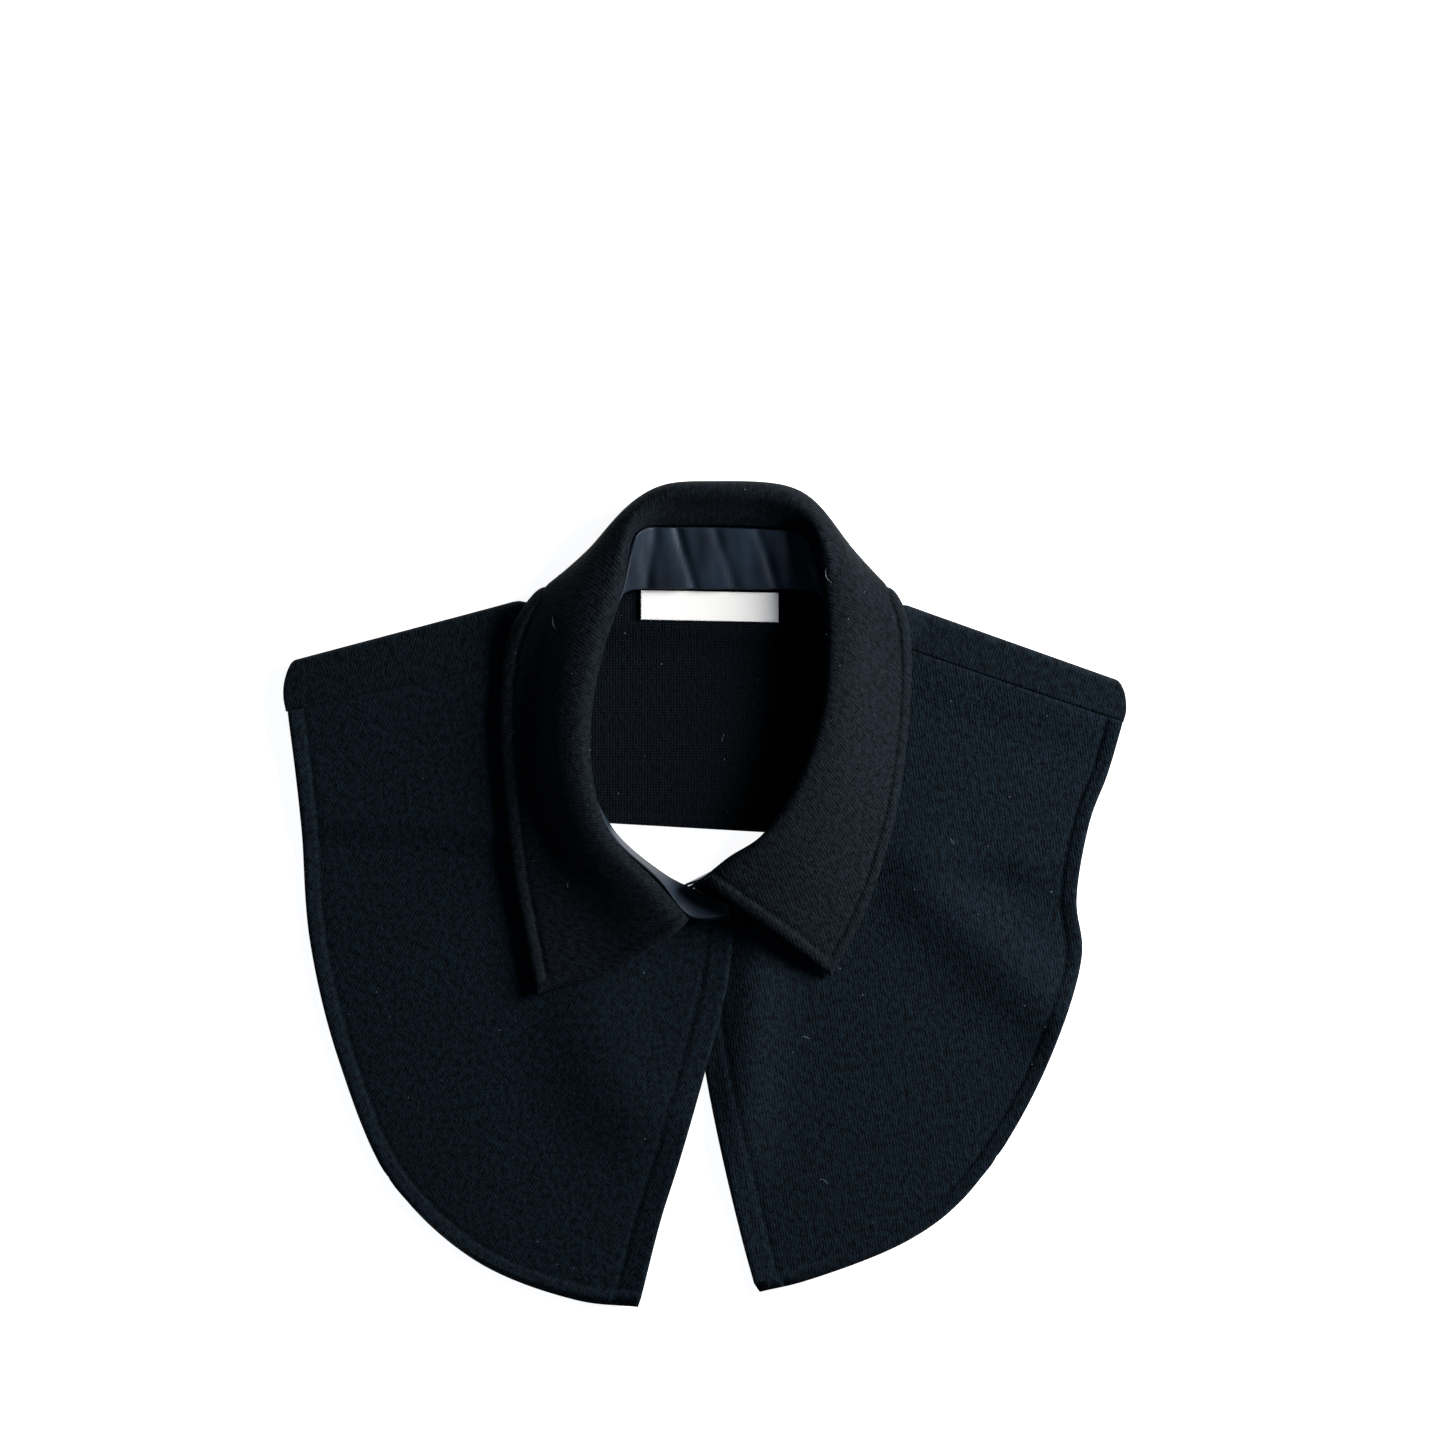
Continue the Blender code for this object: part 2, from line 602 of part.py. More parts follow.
def stand_lining(material):
    """The satin inside of the stand, from the stand's own surface, gathered behind the neck."""
    points = stand_points()
    inward = grid_normals(points)
    share = np.linspace(0, 1, STAND_ROWS)[None, :]
    ripple = np.zeros(points.shape[:2])
    for x, width, height, lean in GATHERS:
        middle = x + lean * (1.0 - share)
        ripple += height * np.exp(-(((points[..., 0] - middle) / (width / 2)) ** 2))
    ripple *= step_up((points[..., 1] - GATHER_START["y"]) / GATHER_START["run"])
    away = LINING_WALL / 2 + SEAM_GAP / 2 + ripple
    return cloth("stand_lining", [points + inward * away[..., None]], LINING_WALL, material)


def label(material):
    """A blank woven label that lies on the back under the neck seam."""
    x = np.linspace(LABEL["left"], LABEL["right"], LABEL_COLUMNS)
    top = LABEL["top"] + LABEL["skew"] * (x - x[0])
    on_back = TABLE_Z + PANEL_WALL / 2 + SEAM_GAP + LABEL_WALL / 2
    points = np.zeros((LABEL_COLUMNS, 2, 3))
    points[..., 0] = x[:, None]
    points[..., 1] = np.stack([top, top - LABEL["height"]], axis=1)
    points[..., 2] = on_back + LEAF_LIFT
    return cloth("label", [points], LABEL_WALL, material)


def main():
    clear_scene()
    wool = finish("black_wool", **BLACK_WOOL)
    satin = finish("black_satin", **BLACK_SATIN)
    tape = finish("white_tape", **WHITE_TAPE)
    back(wool)
    front("right", wool)
    front("left", wool)
    leaf(wool)
    stand(wool)
    stand_lining(satin)
    label(tape)


main()
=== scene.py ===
"""A detachable shirt collar of black double wool crepe with a satin-lined stand, laid flat on its back.

Lengths are in millimetres in the tables and functions, and become metres when a mesh is made.
X runs to the viewer's right, Y towards the back of the neck, Z up from the table.
"""

import math

import bpy
import numpy as np
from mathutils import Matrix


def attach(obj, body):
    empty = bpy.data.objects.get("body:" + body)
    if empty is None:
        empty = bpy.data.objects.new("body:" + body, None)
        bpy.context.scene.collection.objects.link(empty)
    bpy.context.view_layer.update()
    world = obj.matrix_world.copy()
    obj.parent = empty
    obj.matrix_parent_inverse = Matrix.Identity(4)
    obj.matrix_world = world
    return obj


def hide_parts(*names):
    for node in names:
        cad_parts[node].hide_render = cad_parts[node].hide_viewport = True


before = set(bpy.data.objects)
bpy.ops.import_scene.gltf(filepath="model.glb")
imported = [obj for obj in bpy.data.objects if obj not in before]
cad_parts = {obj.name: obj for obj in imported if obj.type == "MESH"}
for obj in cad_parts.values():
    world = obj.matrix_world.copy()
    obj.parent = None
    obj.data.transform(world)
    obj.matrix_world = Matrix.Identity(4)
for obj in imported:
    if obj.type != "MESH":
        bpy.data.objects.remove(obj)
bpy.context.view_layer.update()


# The studio: a plain pale floor, a large soft light low on the right, a weak one from above, and a
# camera that looks straight down through a long lens, as the photograph does.
MM = 0.001
PICTURE_WIDTH = 549.1  # what the photograph spans across the cloth
PICTURE_CENTRE = (6.65, 65.55)
CAMERA_HEIGHT = 3000.0
SENSOR = 36.0


def linear(code):
    """An sRGB hex colour as linear red, green and blue."""
    values = np.array([int(code[k : k + 2], 16) for k in (1, 3, 5)]) / 255.0
    low = values / 12.92
    high = ((values + 0.055) / 1.055) ** 2.4
    return tuple(float(v) for v in np.where(values <= 0.04045, low, high))


def add_node(tree, kind, links=(), settings=(), **sockets):
    """Adds one shader node: settings are its own properties, sockets its inputs, links pairs of
    (output socket, input's name or number)."""
    node = tree.nodes.new("ShaderNode" + kind)
    for name, value in dict(settings).items():
        setattr(node, name, value)
    for name, value in sockets.items():
        node.inputs[name.replace("_", " ")].default_value = value
    for output, name in links:
        tree.links.new(output, node.inputs[name])
    return node


def new_material(name):
    """An empty node material with its output's surface socket."""
    material = bpy.data.materials.new(name)
    material.use_nodes = True
    tree = material.node_tree
    tree.nodes.clear()
    output = tree.nodes.new("ShaderNodeOutputMaterial")
    return material, tree, output.inputs["Surface"]


def area_light(name, place, target, size, power, color):
    """A square area light at place, in millimetres, that faces target."""
    data = bpy.data.lights.new(name, "AREA")
    data.size = size * MM
    data.energy = power
    data.color = linear(color)
    light = bpy.data.objects.new(name, data)
    bpy.context.scene.collection.objects.link(light)
    from_target = np.array(place, float) - np.array(target, float)
    distance = np.linalg.norm(from_target)
    tilt = math.acos(from_target[2] / distance)
    turn = math.atan2(from_target[1], from_target[0]) + math.pi / 2
    light.location = [v * MM for v in place]
    light.rotation_euler = (tilt, 0.0, turn)


floor_mesh = bpy.data.meshes.new("floor")
FLOOR_REACH = 4000.0
FLOOR_Z = -0.1  # just under the cloth
floor_corners = [(-1, -1), (1, -1), (1, 1), (-1, 1)]
floor_mesh.from_pydata(
    [(x * FLOOR_REACH * MM, y * FLOOR_REACH * MM, FLOOR_Z * MM) for x, y in floor_corners],
    [],
    [(0, 1, 2, 3)],
)
floor = bpy.data.objects.new("floor", floor_mesh)
bpy.context.scene.collection.objects.link(floor)
painted_board, tree, surface = new_material("white_painted_board")
shader = add_node(tree, "BsdfPrincipled", Roughness=0.9)
shader.inputs["Base Color"].default_value = (*linear("#f4f5f6"), 1.0)
shader.inputs["Emission Color"].default_value = (1.0, 1.0, 1.0, 1.0)
shader.inputs["Emission Strength"].default_value = 0.93
tree.links.new(shader.outputs["BSDF"], surface)
floor_mesh.materials.append(painted_board)

area_light("key", (735.0, 285.0, 373.0), (0.0, 10.0, 0.0), 400.0, 19.3, "#fffdfa")
area_light("fill", (200.0, -300.0, 1700.0), (0.0, 0.0, 0.0), 1000.0, 1.2, "#cfe0ff")

world = bpy.data.worlds.new("studio")
bpy.context.scene.world = world
world.use_nodes = True
background = world.node_tree.nodes["Background"]
background.inputs["Color"].default_value = (*linear("#b8cdf0"), 1.0)
background.inputs["Strength"].default_value = 0.05
bpy.context.scene.view_settings.view_transform = "Standard"

camera_data = bpy.data.cameras.new("camera")
camera_data.sensor_width = SENSOR
camera_data.lens = SENSOR * CAMERA_HEIGHT / PICTURE_WIDTH
camera_data.clip_end = 20.0
camera = bpy.data.objects.new("camera", camera_data)
bpy.context.scene.collection.objects.link(camera)
camera.location = (PICTURE_CENTRE[0] * MM, PICTURE_CENTRE[1] * MM, CAMERA_HEIGHT * MM)
bpy.context.scene.camera = camera


# Collar stand, outer side: a band of the black wool crepe round the neck, cut on the cross and
# joined to the neck edge of the back and fronts. The leaf rises from its top.
STAND_WALL = 1.3
SEAM_GAP = 0.3
STAND_COLUMNS = 421
STAND_ROWS = 22
NECK_CENTRE = (2.0, 60.0)
STAND_TRIM = 0.9  # from the stand's top to the line where the leaf begins
SEAM_ROUND = 1.4
SEAM_CLOSED = -0.08  # two panels sewn edge to edge press into each other
# Sections of the collar from the left front end round the back of the neck to the right one.
# foot, top: the stand's edges. crest, outer, middle, edge: across the leaf. Each is x, y, z.
SECTION_COLUMNS = ("foot", "top", "crest", "outer", "middle", "edge")
SECTIONS = (
    # left front end
    (
        (-2.6, 1.4, 5.4), (-5.9, -9.0, 11.6), (-9.6, -12.8, 12.8),
        (-16.0, -17.2, 11.4), (-36.0, -28.4, 7.0), (-64.0, -37.6, 4.7),
    ),
    (
        (-15.6, 7.3, 4.4), (-18.4, 5.4, 13.2), (-21.6, 3.4, 15.2),
        (-27.4, 0.0, 13.8), (-41.0, -8.6, 7.4), (-68.4, -15.4, 4.2),
    ),
    (
        (-34.4, 23.2, 4.7), (-35.6, 23.0, 14.6), (-38.8, 21.4, 17.2),
        (-44.4, 18.8, 15.8), (-55.4, 13.8, 7.4), (-72.4, 5.8, 4.6),
    ),
    (
        (-45.0, 43.5, 4.7), (-42.6, 45.4, 16.4), (-46.2, 44.8, 19.4),
        (-53.4, 43.4, 18.2), (-64.4, 40.6, 8.4), (-76.0, 36.6, 5.9),
    ),
    (
        (-48.2, 68.5, 4.6), (-42.8, 70.2, 16.8), (-46.8, 70.2, 19.8),
        (-54.6, 69.8, 18.6), (-66.2, 68.0, 9.0), (-78.0, 64.8, 6.0),
    ),
    (
        (-46.5, 90.5, 6.3), (-38.2, 93.1, 17.2), (-42.4, 94.0, 20.2),
        (-50.8, 94.2, 19.2), (-63.0, 92.0, 11.8), (-76.8, 87.8, 7.5),
    ),
    # left shoulder
    (
        (-39.0, 109.0, 9.6), (-31.0, 115.8, 17.2), (-35.2, 118.2, 20.4),
        (-43.0, 118.0, 19.4), (-55.4, 112.8, 15.2), (-72.0, 104.0, 9.8),
    ),
    (
        (-29.6, 115.8, 7.9), (-27.6, 136.8, 14.2), (-28.2, 141.2, 19.6),
        (-31.8, 142.6, 17.6), (-46.0, 128.0, 10.2), (-64.0, 113.4, 8.0),
    ),
    (
        (-25.5, 116.2, 7.1), (-23.2, 140.2, 11.0), (-21.8, 148.2, 20.0),
        (-23.4, 150.8, 16.4), (-36.8, 137.2, 2.4), (-59.0, 112.4, 1.2),
    ),
    (
        (-19.0, 116.3, 6.8), (-15.6, 140.4, 9.8), (-14.2, 151.6, 20.4),
        (-15.0, 154.8, 16.8), (-25.0, 147.6, 1.6), (-48.0, 108.6, 1.1),
    ),
    # middle of the back
    (
        (3.5, 116.3, 6.7), (3.5, 140.4, 9.4), (3.5, 152.6, 20.8),
        (3.5, 155.7, 17.0), (3.5, 149.8, 1.6), (3.5, 105.6, 1.1),
    ),
    (
        (28.5, 116.2, 6.8), (25.6, 139.6, 9.8), (25.8, 151.2, 20.4),
        (27.6, 154.8, 16.8), (35.0, 147.6, 1.6), (54.0, 108.6, 1.1),
    ),
    (
        (35.5, 116.1, 7.1), (34.8, 138.8, 11.0), (35.8, 147.8, 20.0),
        (38.6, 151.0, 16.4), (49.0, 137.2, 2.4), (66.0, 112.0, 1.2),
    ),
    (
        (42.0, 115.4, 7.9), (40.0, 135.6, 14.8), (42.0, 141.2, 19.8),
        (46.2, 141.2, 17.6), (56.2, 130.0, 10.2), (71.8, 113.2, 8.0),
    ),
    # right shoulder
    (
        (50.0, 108.6, 9.6), (44.6, 115.4, 18.8), (47.4, 117.2, 20.6),
        (54.2, 116.4, 19.8), (64.8, 111.6, 15.6), (77.2, 102.8, 9.9),
    ),
    (
        (54.6, 91.0, 6.0), (46.0, 95.8, 20.0), (48.6, 95.8, 21.2),
        (56.2, 94.6, 19.8), (67.6, 91.2, 13.4), (78.4, 85.6, 7.4),
    ),
    (
        (51.6, 67.0, 4.6), (44.2, 71.0, 20.2), (46.8, 70.2, 21.2),
        (54.2, 67.9, 19.8), (65.8, 63.8, 13.4), (76.6, 59.6, 5.9),
    ),
    (
        (41.4, 39.8, 4.6), (35.0, 43.4, 19.8), (37.4, 42.0, 21.0),
        (45.0, 38.2, 19.6), (57.6, 32.6, 13.6), (71.6, 27.4, 6.1),
    ),
    (
        (24.2, 20.4, 4.4), (21.4, 22.6, 18.6), (23.8, 20.6, 19.8),
        (30.2, 15.4, 18.6), (43.6, 6.4, 14.0), (61.4, -5.0, 4.9),
    ),
    (
        (10.5, 12.2, 3.0), (9.6, 14.0, 17.2), (12.0, 12.0, 18.4),
        (18.4, 6.8, 17.6), (32.4, -3.4, 14.2), (55.0, -18.0, 4.0),
    ),
    # right front end
    (
        (-1.8, 5.8, 3.2), (-1.0, 5.6, 14.6), (2.2, 3.4, 16.4),
        (8.2, -0.9, 16.2), (26.0, -13.6, 13.0), (47.8, -30.8, 3.6),
    ),
)
# How far the stand's top is tucked out under the roll, for each section
STAND_TUCK = (
    *(0.0, 0.0, 0.5, 1.1, 1.2, 1.2, 1.0, 0.3, 0.0, 0.0),
    *(0.0, 0.0, 0.0, 0.3, 0.8, 1.2, 1.2, 1.1, 0.6, 0.0, 0.0),
)
# The stand runs past the leaf at each front end: foot and top there. x, y, z
LEFT_EXTENSION = ((8.6, -4.6, 5.4), (9.8, -8.6, 10.4))
RIGHT_EXTENSION = ((-7.4, 3.2, 9.4), (-6.8, 3.6, 13.0))


def step_up(value):
    """Rises smoothly from 0 to 1 as value goes from 0 to 1: 3 v squared less 2 v cubed."""
    share = np.clip(value, 0.0, 1.0)
    return share * share * (3.0 - 2.0 * share)


def through(knots, rows, places):
    """The cubic curve through rows at knots, read at places: its slope at a row is the mean of
    the slopes on its two sides."""
    knots = np.asarray(knots, float)
    rows = np.asarray(rows, float)
    slopes = np.gradient(rows, knots, axis=0)
    places = np.atleast_1d(np.asarray(places, float))
    start = np.clip(np.searchsorted(knots, places, side="right") - 1, 0, len(knots) - 2)
    spread = (len(places),) + (1,) * (rows.ndim - 1)
    step = (knots[start + 1] - knots[start]).reshape(spread)
    t = ((places - knots[start]) / (knots[start + 1] - knots[start])).reshape(spread)
    return (
        (2 * t**3 - 3 * t**2 + 1) * rows[start]
        + (t**3 - 2 * t**2 + t) * step * slopes[start]
        + (3 * t**2 - 2 * t**3) * rows[start + 1]
        + (t**3 - t**2) * step * slopes[start + 1]
    )


def spaced_knots(rows):
    """Knots for rows of points, each as far from the last as the root of their distance."""
    chords = np.linalg.norm(np.diff(np.asarray(rows, float), axis=0), axis=1)
    return np.concatenate([[0.0], np.cumsum(np.sqrt(chords))])


def run_length(rows):
    """Length along a line of points, from its first point."""
    return np.concatenate([[0.0], np.cumsum(np.linalg.norm(np.diff(rows, axis=0), axis=1))])


def along(rows, shares):
    """Points at shares of the length of the smooth curve through rows."""
    knots = spaced_knots(rows)
    dense = through(knots, rows, np.linspace(0.0, knots[-1], 600))
    length = run_length(dense)
    wanted = np.asarray(shares, float) * length[-1]
    return np.stack([np.interp(wanted, length, dense[:, k]) for k in range(dense.shape[1])], axis=1)


def close_at_ends(count, start=True, end=True, ratio=14.0, reach=5.0):
    """count shares from 0 to 1 that lie closer together at the ends, for a cloth's round edge: each
    step is 1 over 1 plus ratio times the exponential fall from that end."""
    place = np.arange(count - 1, dtype=float)
    crowd = ratio * np.exp(-place / reach) * start
    crowd = crowd + ratio * np.exp(-(count - 2 - place) / reach) * end
    steps = 1.0 / (1.0 + crowd)
    return np.concatenate([[0.0], np.cumsum(steps)]) / steps.sum()


def section_column(name):
    """One column of the sections, such as the stand's foot: x, y, z for each section."""
    return np.array(SECTIONS, float)[:, SECTION_COLUMNS.index(name)]


def grid_quads(columns, rows):
    """Corner numbers of a grid's quads, whose points are listed column by column."""
    number = np.arange(columns * rows).reshape(columns, rows)
    corners = (number[:-1, :-1], number[1:, :-1], number[1:, 1:], number[:-1, 1:])
    return np.stack([corner.ravel() for corner in corners], axis=1)


def nearest_distance(points, line):
    """Distance from each point to the nearest of the line's points."""
    found = np.empty(len(points))
    for part in np.array_split(np.arange(len(points)), max(1, len(points) * len(line) // 4000000)):
        apart = points[part, None] - line[None]
        found[part] = np.sqrt(np.min(np.einsum("ijk,ijk->ij", apart, apart), axis=1))
    return found


def grid_normals(points):
    """Unit normals at the points of a grid: the run along the columns crossed with that down them."""
    normals = np.cross(np.gradient(points, axis=0), np.gradient(points, axis=1))
    return normals / np.maximum(np.linalg.norm(normals, axis=2, keepdims=True), 1e-9)


def make_cloth(
    name,
    blocks,
    maps,
    wall,
    material,
    round_edge=0.9,
    thickness=None,
    seams=None,
    flip=False,
    under_side=None,
):
    """A closed shell of cloth round a middle surface of grids joined where they meet.

    Each skin stands off the middle surface by half the thickness along the normal. The thickness is
    wall times the root of 1 less (1 less the share of the way in from the free edge) squared, a half
    round, times what thickness(points) gives. Along seams, the lines of points where a panel is
    sewn to the next, the round is small. maps are the cloth's own flat coordinates, kept as a UV map
    in metres. under_side is the lower skin's material where it differs."""
    points = np.concatenate([block.reshape(-1, 3) for block in blocks])
    flat = np.concatenate([part.reshape(-1, 2) for part in maps])
    quads = []
    first = 0
    for block in blocks:
        quads.append(grid_quads(*block.shape[:2]) + first)
        first += block.shape[0] * block.shape[1]
    quads = np.concatenate(quads)
    if flip:
        quads = quads[:, ::-1]
    _, keep, index = np.unique(np.round(points, 3), axis=0, return_index=True, return_inverse=True)
    points, flat, quads = points[keep], flat[keep], index.reshape(-1)[quads]
    diagonals = points[quads[:, 2]] - points[quads[:, 0]], points[quads[:, 3]] - points[quads[:, 1]]
    face_normals = np.cross(*diagonals)
    normals = np.zeros_like(points)
    for k in range(4):
        np.add.at(normals, quads[:, k], face_normals)
    normals /= np.maximum(np.linalg.norm(normals, axis=1, keepdims=True), 1e-9)
    ends = np.sort(np.stack([quads, np.roll(quads, -1, axis=1)], axis=2).reshape(-1, 2), axis=1)
    edges, uses = np.unique(ends, axis=0, return_counts=True)
    border = np.unique(edges[uses == 1])
    sewn = np.zeros(len(border), bool)
    if seams is not None:
        sewn = nearest_distance(points[border], seams) < SEAM_ROUND
    half = np.full(len(points), 0.5 * wall)
    for lines, round_size in ((border[~sewn], round_edge), (border[sewn], SEAM_ROUND)):
        if len(lines):
            inward = nearest_distance(points, points[lines])
            half *= np.sqrt(1.0 - (1.0 - np.clip(inward / round_size, 0.0, 1.0)) ** 2)
    if thickness is not None:
        half *= thickness(points)
    upper = points + normals * half[:, None]
    lower = points - normals * half[:, None]
    count = len(points)
    on_lower = np.arange(count) + count
    on_lower[border] = border
    faces = np.concatenate([quads, on_lower[quads][:, ::-1]])
    used, faces = np.unique(faces, return_inverse=True)
    faces = faces.reshape(-1, 4)
    everything = np.concatenate([upper, lower])[used]
    everything[:, 2] = np.maximum(everything[:, 2], 0.0)
    mesh = bpy.data.meshes.new(name)
    mesh.from_pydata((everything * MM).tolist(), [], faces.tolist())
    cloth_map = mesh.uv_layers.new(name="cloth")
    both = np.concatenate([flat, flat])[used] * MM
    cloth_map.data.foreach_set("uv", both[faces.ravel()].astype(np.float32).ravel())
    mesh.materials.append(material)
    if under_side:
        mesh.materials.append(under_side)
        mesh.polygons.foreach_set("material_index", np.repeat([0, 1], len(quads)))
    mesh.shade_smooth()
    piece = bpy.data.objects.new(name, mesh)
    bpy.context.scene.collection.objects.link(piece)
    return piece


def declare_cloth(piece, node):
    """Puts a piece of cloth on the root body and hides the model's part, node, that it stands for."""
    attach(piece, "root")
    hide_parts(node)


def wool_crepe(name, turn, light, rib=0.0):
    """Double wool crepe, woven from hard-twisted yarn and finished soft: nearly black, matt, with a
    pebbled grain, a faint steep twill and short fibres that catch light at a glancing angle.

    The grain is drawn at 1.1 mm, a little coarser than the real 0.7 mm, so that it shows. light is the
    colour of its raised yarns."""
    material, tree, surface = new_material(name)
    cloth = add_node(tree, "UVMap", settings={"uv_map": "cloth"})
    turned = add_node(tree, "Mapping", [(cloth.outputs["UV"], "Vector")], Rotation=(0.0, 0.0, turn))
    squeezed = add_node(tree, "Mapping", [(turned.outputs["Vector"], "Vector")], Scale=(1.0, 0.75, 1.0))
    where = squeezed.outputs["Vector"]
    grain = add_node(tree, "TexNoise", [(where, "Vector")], Scale=1250.0, Detail=3.0, Roughness=0.62)
    pebble = add_node(tree, "TexNoise", [(where, "Vector")], Scale=520.0, Detail=2.0, Roughness=0.5)
    twill = add_node(
        tree,
        "TexWave",
        [(turned.outputs["Vector"], "Vector")],
        settings={"wave_type": "BANDS", "bands_direction": "X"},
        Scale=285.0,
        Distortion=2.6,
        Detail=2.0,
    )
    twill.inputs["Detail Scale"].default_value = 2.4
    patch = add_node(tree, "TexNoise", [(cloth.outputs["UV"], "Vector")], Scale=34.0, Detail=3.0)
    mixed = add_node(
        tree,
        "Math",
        [(grain.outputs["Fac"], 0), (pebble.outputs["Fac"], 1)],
        settings={"operation": "ADD"},
    )
    height = add_node(
        tree,
        "Math",
        [(twill.outputs["Fac"], 0), (mixed.outputs["Value"], 2)],
        settings={"operation": "MULTIPLY_ADD"},
    )
    height.inputs[1].default_value = 0.22
    tone = height.outputs["Value"]
    if rib:
        ribs = add_node(
            tree,
            "TexWave",
            [(turned.outputs["Vector"], "Vector")],
            settings={"wave_type": "BANDS", "bands_direction": "Y"},
            Scale=300.0,
            Distortion=1.2,
            Detail=1.0,
        )
        ribbed = add_node(
            tree,
            "Math",
            [(ribs.outputs["Fac"], 0), (tone, 2)],
            settings={"operation": "MULTIPLY_ADD"},
        )
        ribbed.inputs[1].default_value = rib
        tone = ribbed.outputs["Value"]
    share = add_node(tree, "MapRange", [(tone, "Value")])
    share.inputs["From Min"].default_value = 0.86
    share.inputs["From Max"].default_value = 1.36 + rib
    colors = add_node(tree, "ValToRGB", [(share.outputs["Result"], "Fac")])
    ramp = colors.color_ramp
    ramp.elements[0].color = (*linear("#010306"), 1.0)
    ramp.elements[1].color = (*linear(light), 1.0)
    tone_range = add_node(tree, "MapRange", [(patch.outputs["Fac"], "Value")])
    tone_range.inputs["To Min"].default_value = 0.8
    tone_range.inputs["To Max"].default_value = 1.2
    varied = add_node(
        tree,
        "Mix",
        settings={"data_type": "RGBA", "blend_type": "MULTIPLY"},
    )
    varied.inputs["Factor"].default_value = 1.0
    tree.links.new(colors.outputs["Color"], varied.inputs[6])
    tree.links.new(tone_range.outputs["Result"], varied.inputs[7])
    bump = add_node(tree, "Bump", [(tone, "Height")], Strength=0.8, Distance=0.0005)
    shader = add_node(
        tree,
        "BsdfPrincipled",
        [(varied.outputs[2], "Base Color"), (bump.outputs["Normal"], "Normal")],
        Roughness=0.75,
        Sheen_Weight=0.02,
        Sheen_Roughness=0.5,
    )
    shader.inputs["Specular IOR Level"].default_value = 0.05
    shader.inputs["Sheen Tint"].default_value = (*linear("#dfe7f2"), 1.0)
    tree.links.new(shader.outputs["BSDF"], surface)
    return material


def stand_points():
    """Middle surface between the stand's wool and its lining: straight from each place on the foot
    line to the top line, both smooth curves through the sections, less a strip for the leaf's seam."""
    feet = np.vstack([LEFT_EXTENSION[0], section_column("foot"), RIGHT_EXTENSION[0]])
    tops = section_column("top")
    out = tops[:, :2] - np.array(NECK_CENTRE)
    out /= np.linalg.norm(out, axis=1, keepdims=True)
    tops[:, :2] += out * np.array(STAND_TUCK)[:, None]
    tops = np.vstack([LEFT_EXTENSION[1], tops, RIGHT_EXTENSION[1]])
    knots = spaced_knots(tops)
    places = close_at_ends(STAND_COLUMNS) * knots[-1]
    foot = through(knots, feet, places)
    top = through(knots, tops, places)
    height = np.linalg.norm(top - foot, axis=1, keepdims=True)
    top = top - (top - foot) / height * STAND_TRIM
    share = close_at_ends(STAND_ROWS, ratio=8.0, reach=3.0)[None, :, None]
    return foot[:, None] * (1 - share) + top[:, None] * share


def lengths_map(points):
    """Flat coordinates of a grid of cloth: the length along its middle row, and that down a column."""
    middle = points[:, points.shape[1] // 2]
    down = np.linalg.norm(np.diff(points, axis=1), axis=2)
    down = np.concatenate([np.zeros((len(points), 1)), np.cumsum(down, axis=1)], axis=1)
    return np.stack(np.broadcast_arrays(run_length(middle)[:, None], down), axis=2)


stand_middle = stand_points()
stand_wool = wool_crepe("wool_crepe_on_the_cross", 0.9, "#10181f")
stand_out = stand_middle - grid_normals(stand_middle) * (STAND_WALL / 2 + SEAM_GAP / 2)
stand = make_cloth("stand_band", [stand_out], [lengths_map(stand_out)], STAND_WALL, stand_wool, 0.6)
declare_cloth(stand, "collar_stand")


# Stand lining: black silk satin on the inside of the stand, cut a little long and drawn up, so that
# it gathers into soft upright folds at the back of the neck.
LINING_WALL = 1.0
LINING_ROWS = 44
GATHER_EASE = 1.15  # how far the gathered satin stands off the wool
GATHER_LINE = {"y": 107.0, "run": 9.0}
# Dark troughs between the gathers: x at the top, x at the foot, half width, depth
GATHERS = (
    (-19.0, -22.0, 2.4, 0.95),
    (-10.6, -3.8, 1.9, 1.15),
    (3.8, 11.4, 2.0, 0.80),
    (19.8, 27.4, 2.1, 0.95),
    (31.0, 36.0, 1.8, 0.45),
)


def silk_satin(name):
    """Silk satin: long warp floats run up the stand, so it shines softly across them. Near black,
    with a blue cast."""
    material, tree, surface = new_material(name)
    cloth = add_node(tree, "UVMap", settings={"uv_map": "cloth"})
    floats = add_node(tree, "Mapping", [(cloth.outputs["UV"], "Vector")], Scale=(1.0, 0.12, 1.0))
    thread = add_node(tree, "TexNoise", [(floats.outputs["Vector"], "Vector")], Scale=1800.0, Detail=2.0)
    cloud = add_node(tree, "TexNoise", [(cloth.outputs["UV"], "Vector")], Scale=60.0, Detail=2.0)
    colors = add_node(tree, "ValToRGB", [(cloud.outputs["Fac"], "Fac")])
    colors.color_ramp.elements[0].position = 0.3
    colors.color_ramp.elements[0].color = (*linear("#131a23"), 1.0)
    colors.color_ramp.elements[1].position = 0.7
    colors.color_ramp.elements[1].color = (*linear("#202c39"), 1.0)
    bump = add_node(tree, "Bump", [(thread.outputs["Fac"], "Height")], Strength=0.25, Distance=0.0002)
    shader = add_node(
        tree,
        "BsdfPrincipled",
        [(colors.outputs["Color"], "Base Color"), (bump.outputs["Normal"], "Normal")],
        Roughness=0.42,
        Anisotropic=0.3,
    )
    shader.inputs["Specular IOR Level"].default_value = 0.12
    tree.links.new(shader.outputs["BSDF"], surface)
    return material


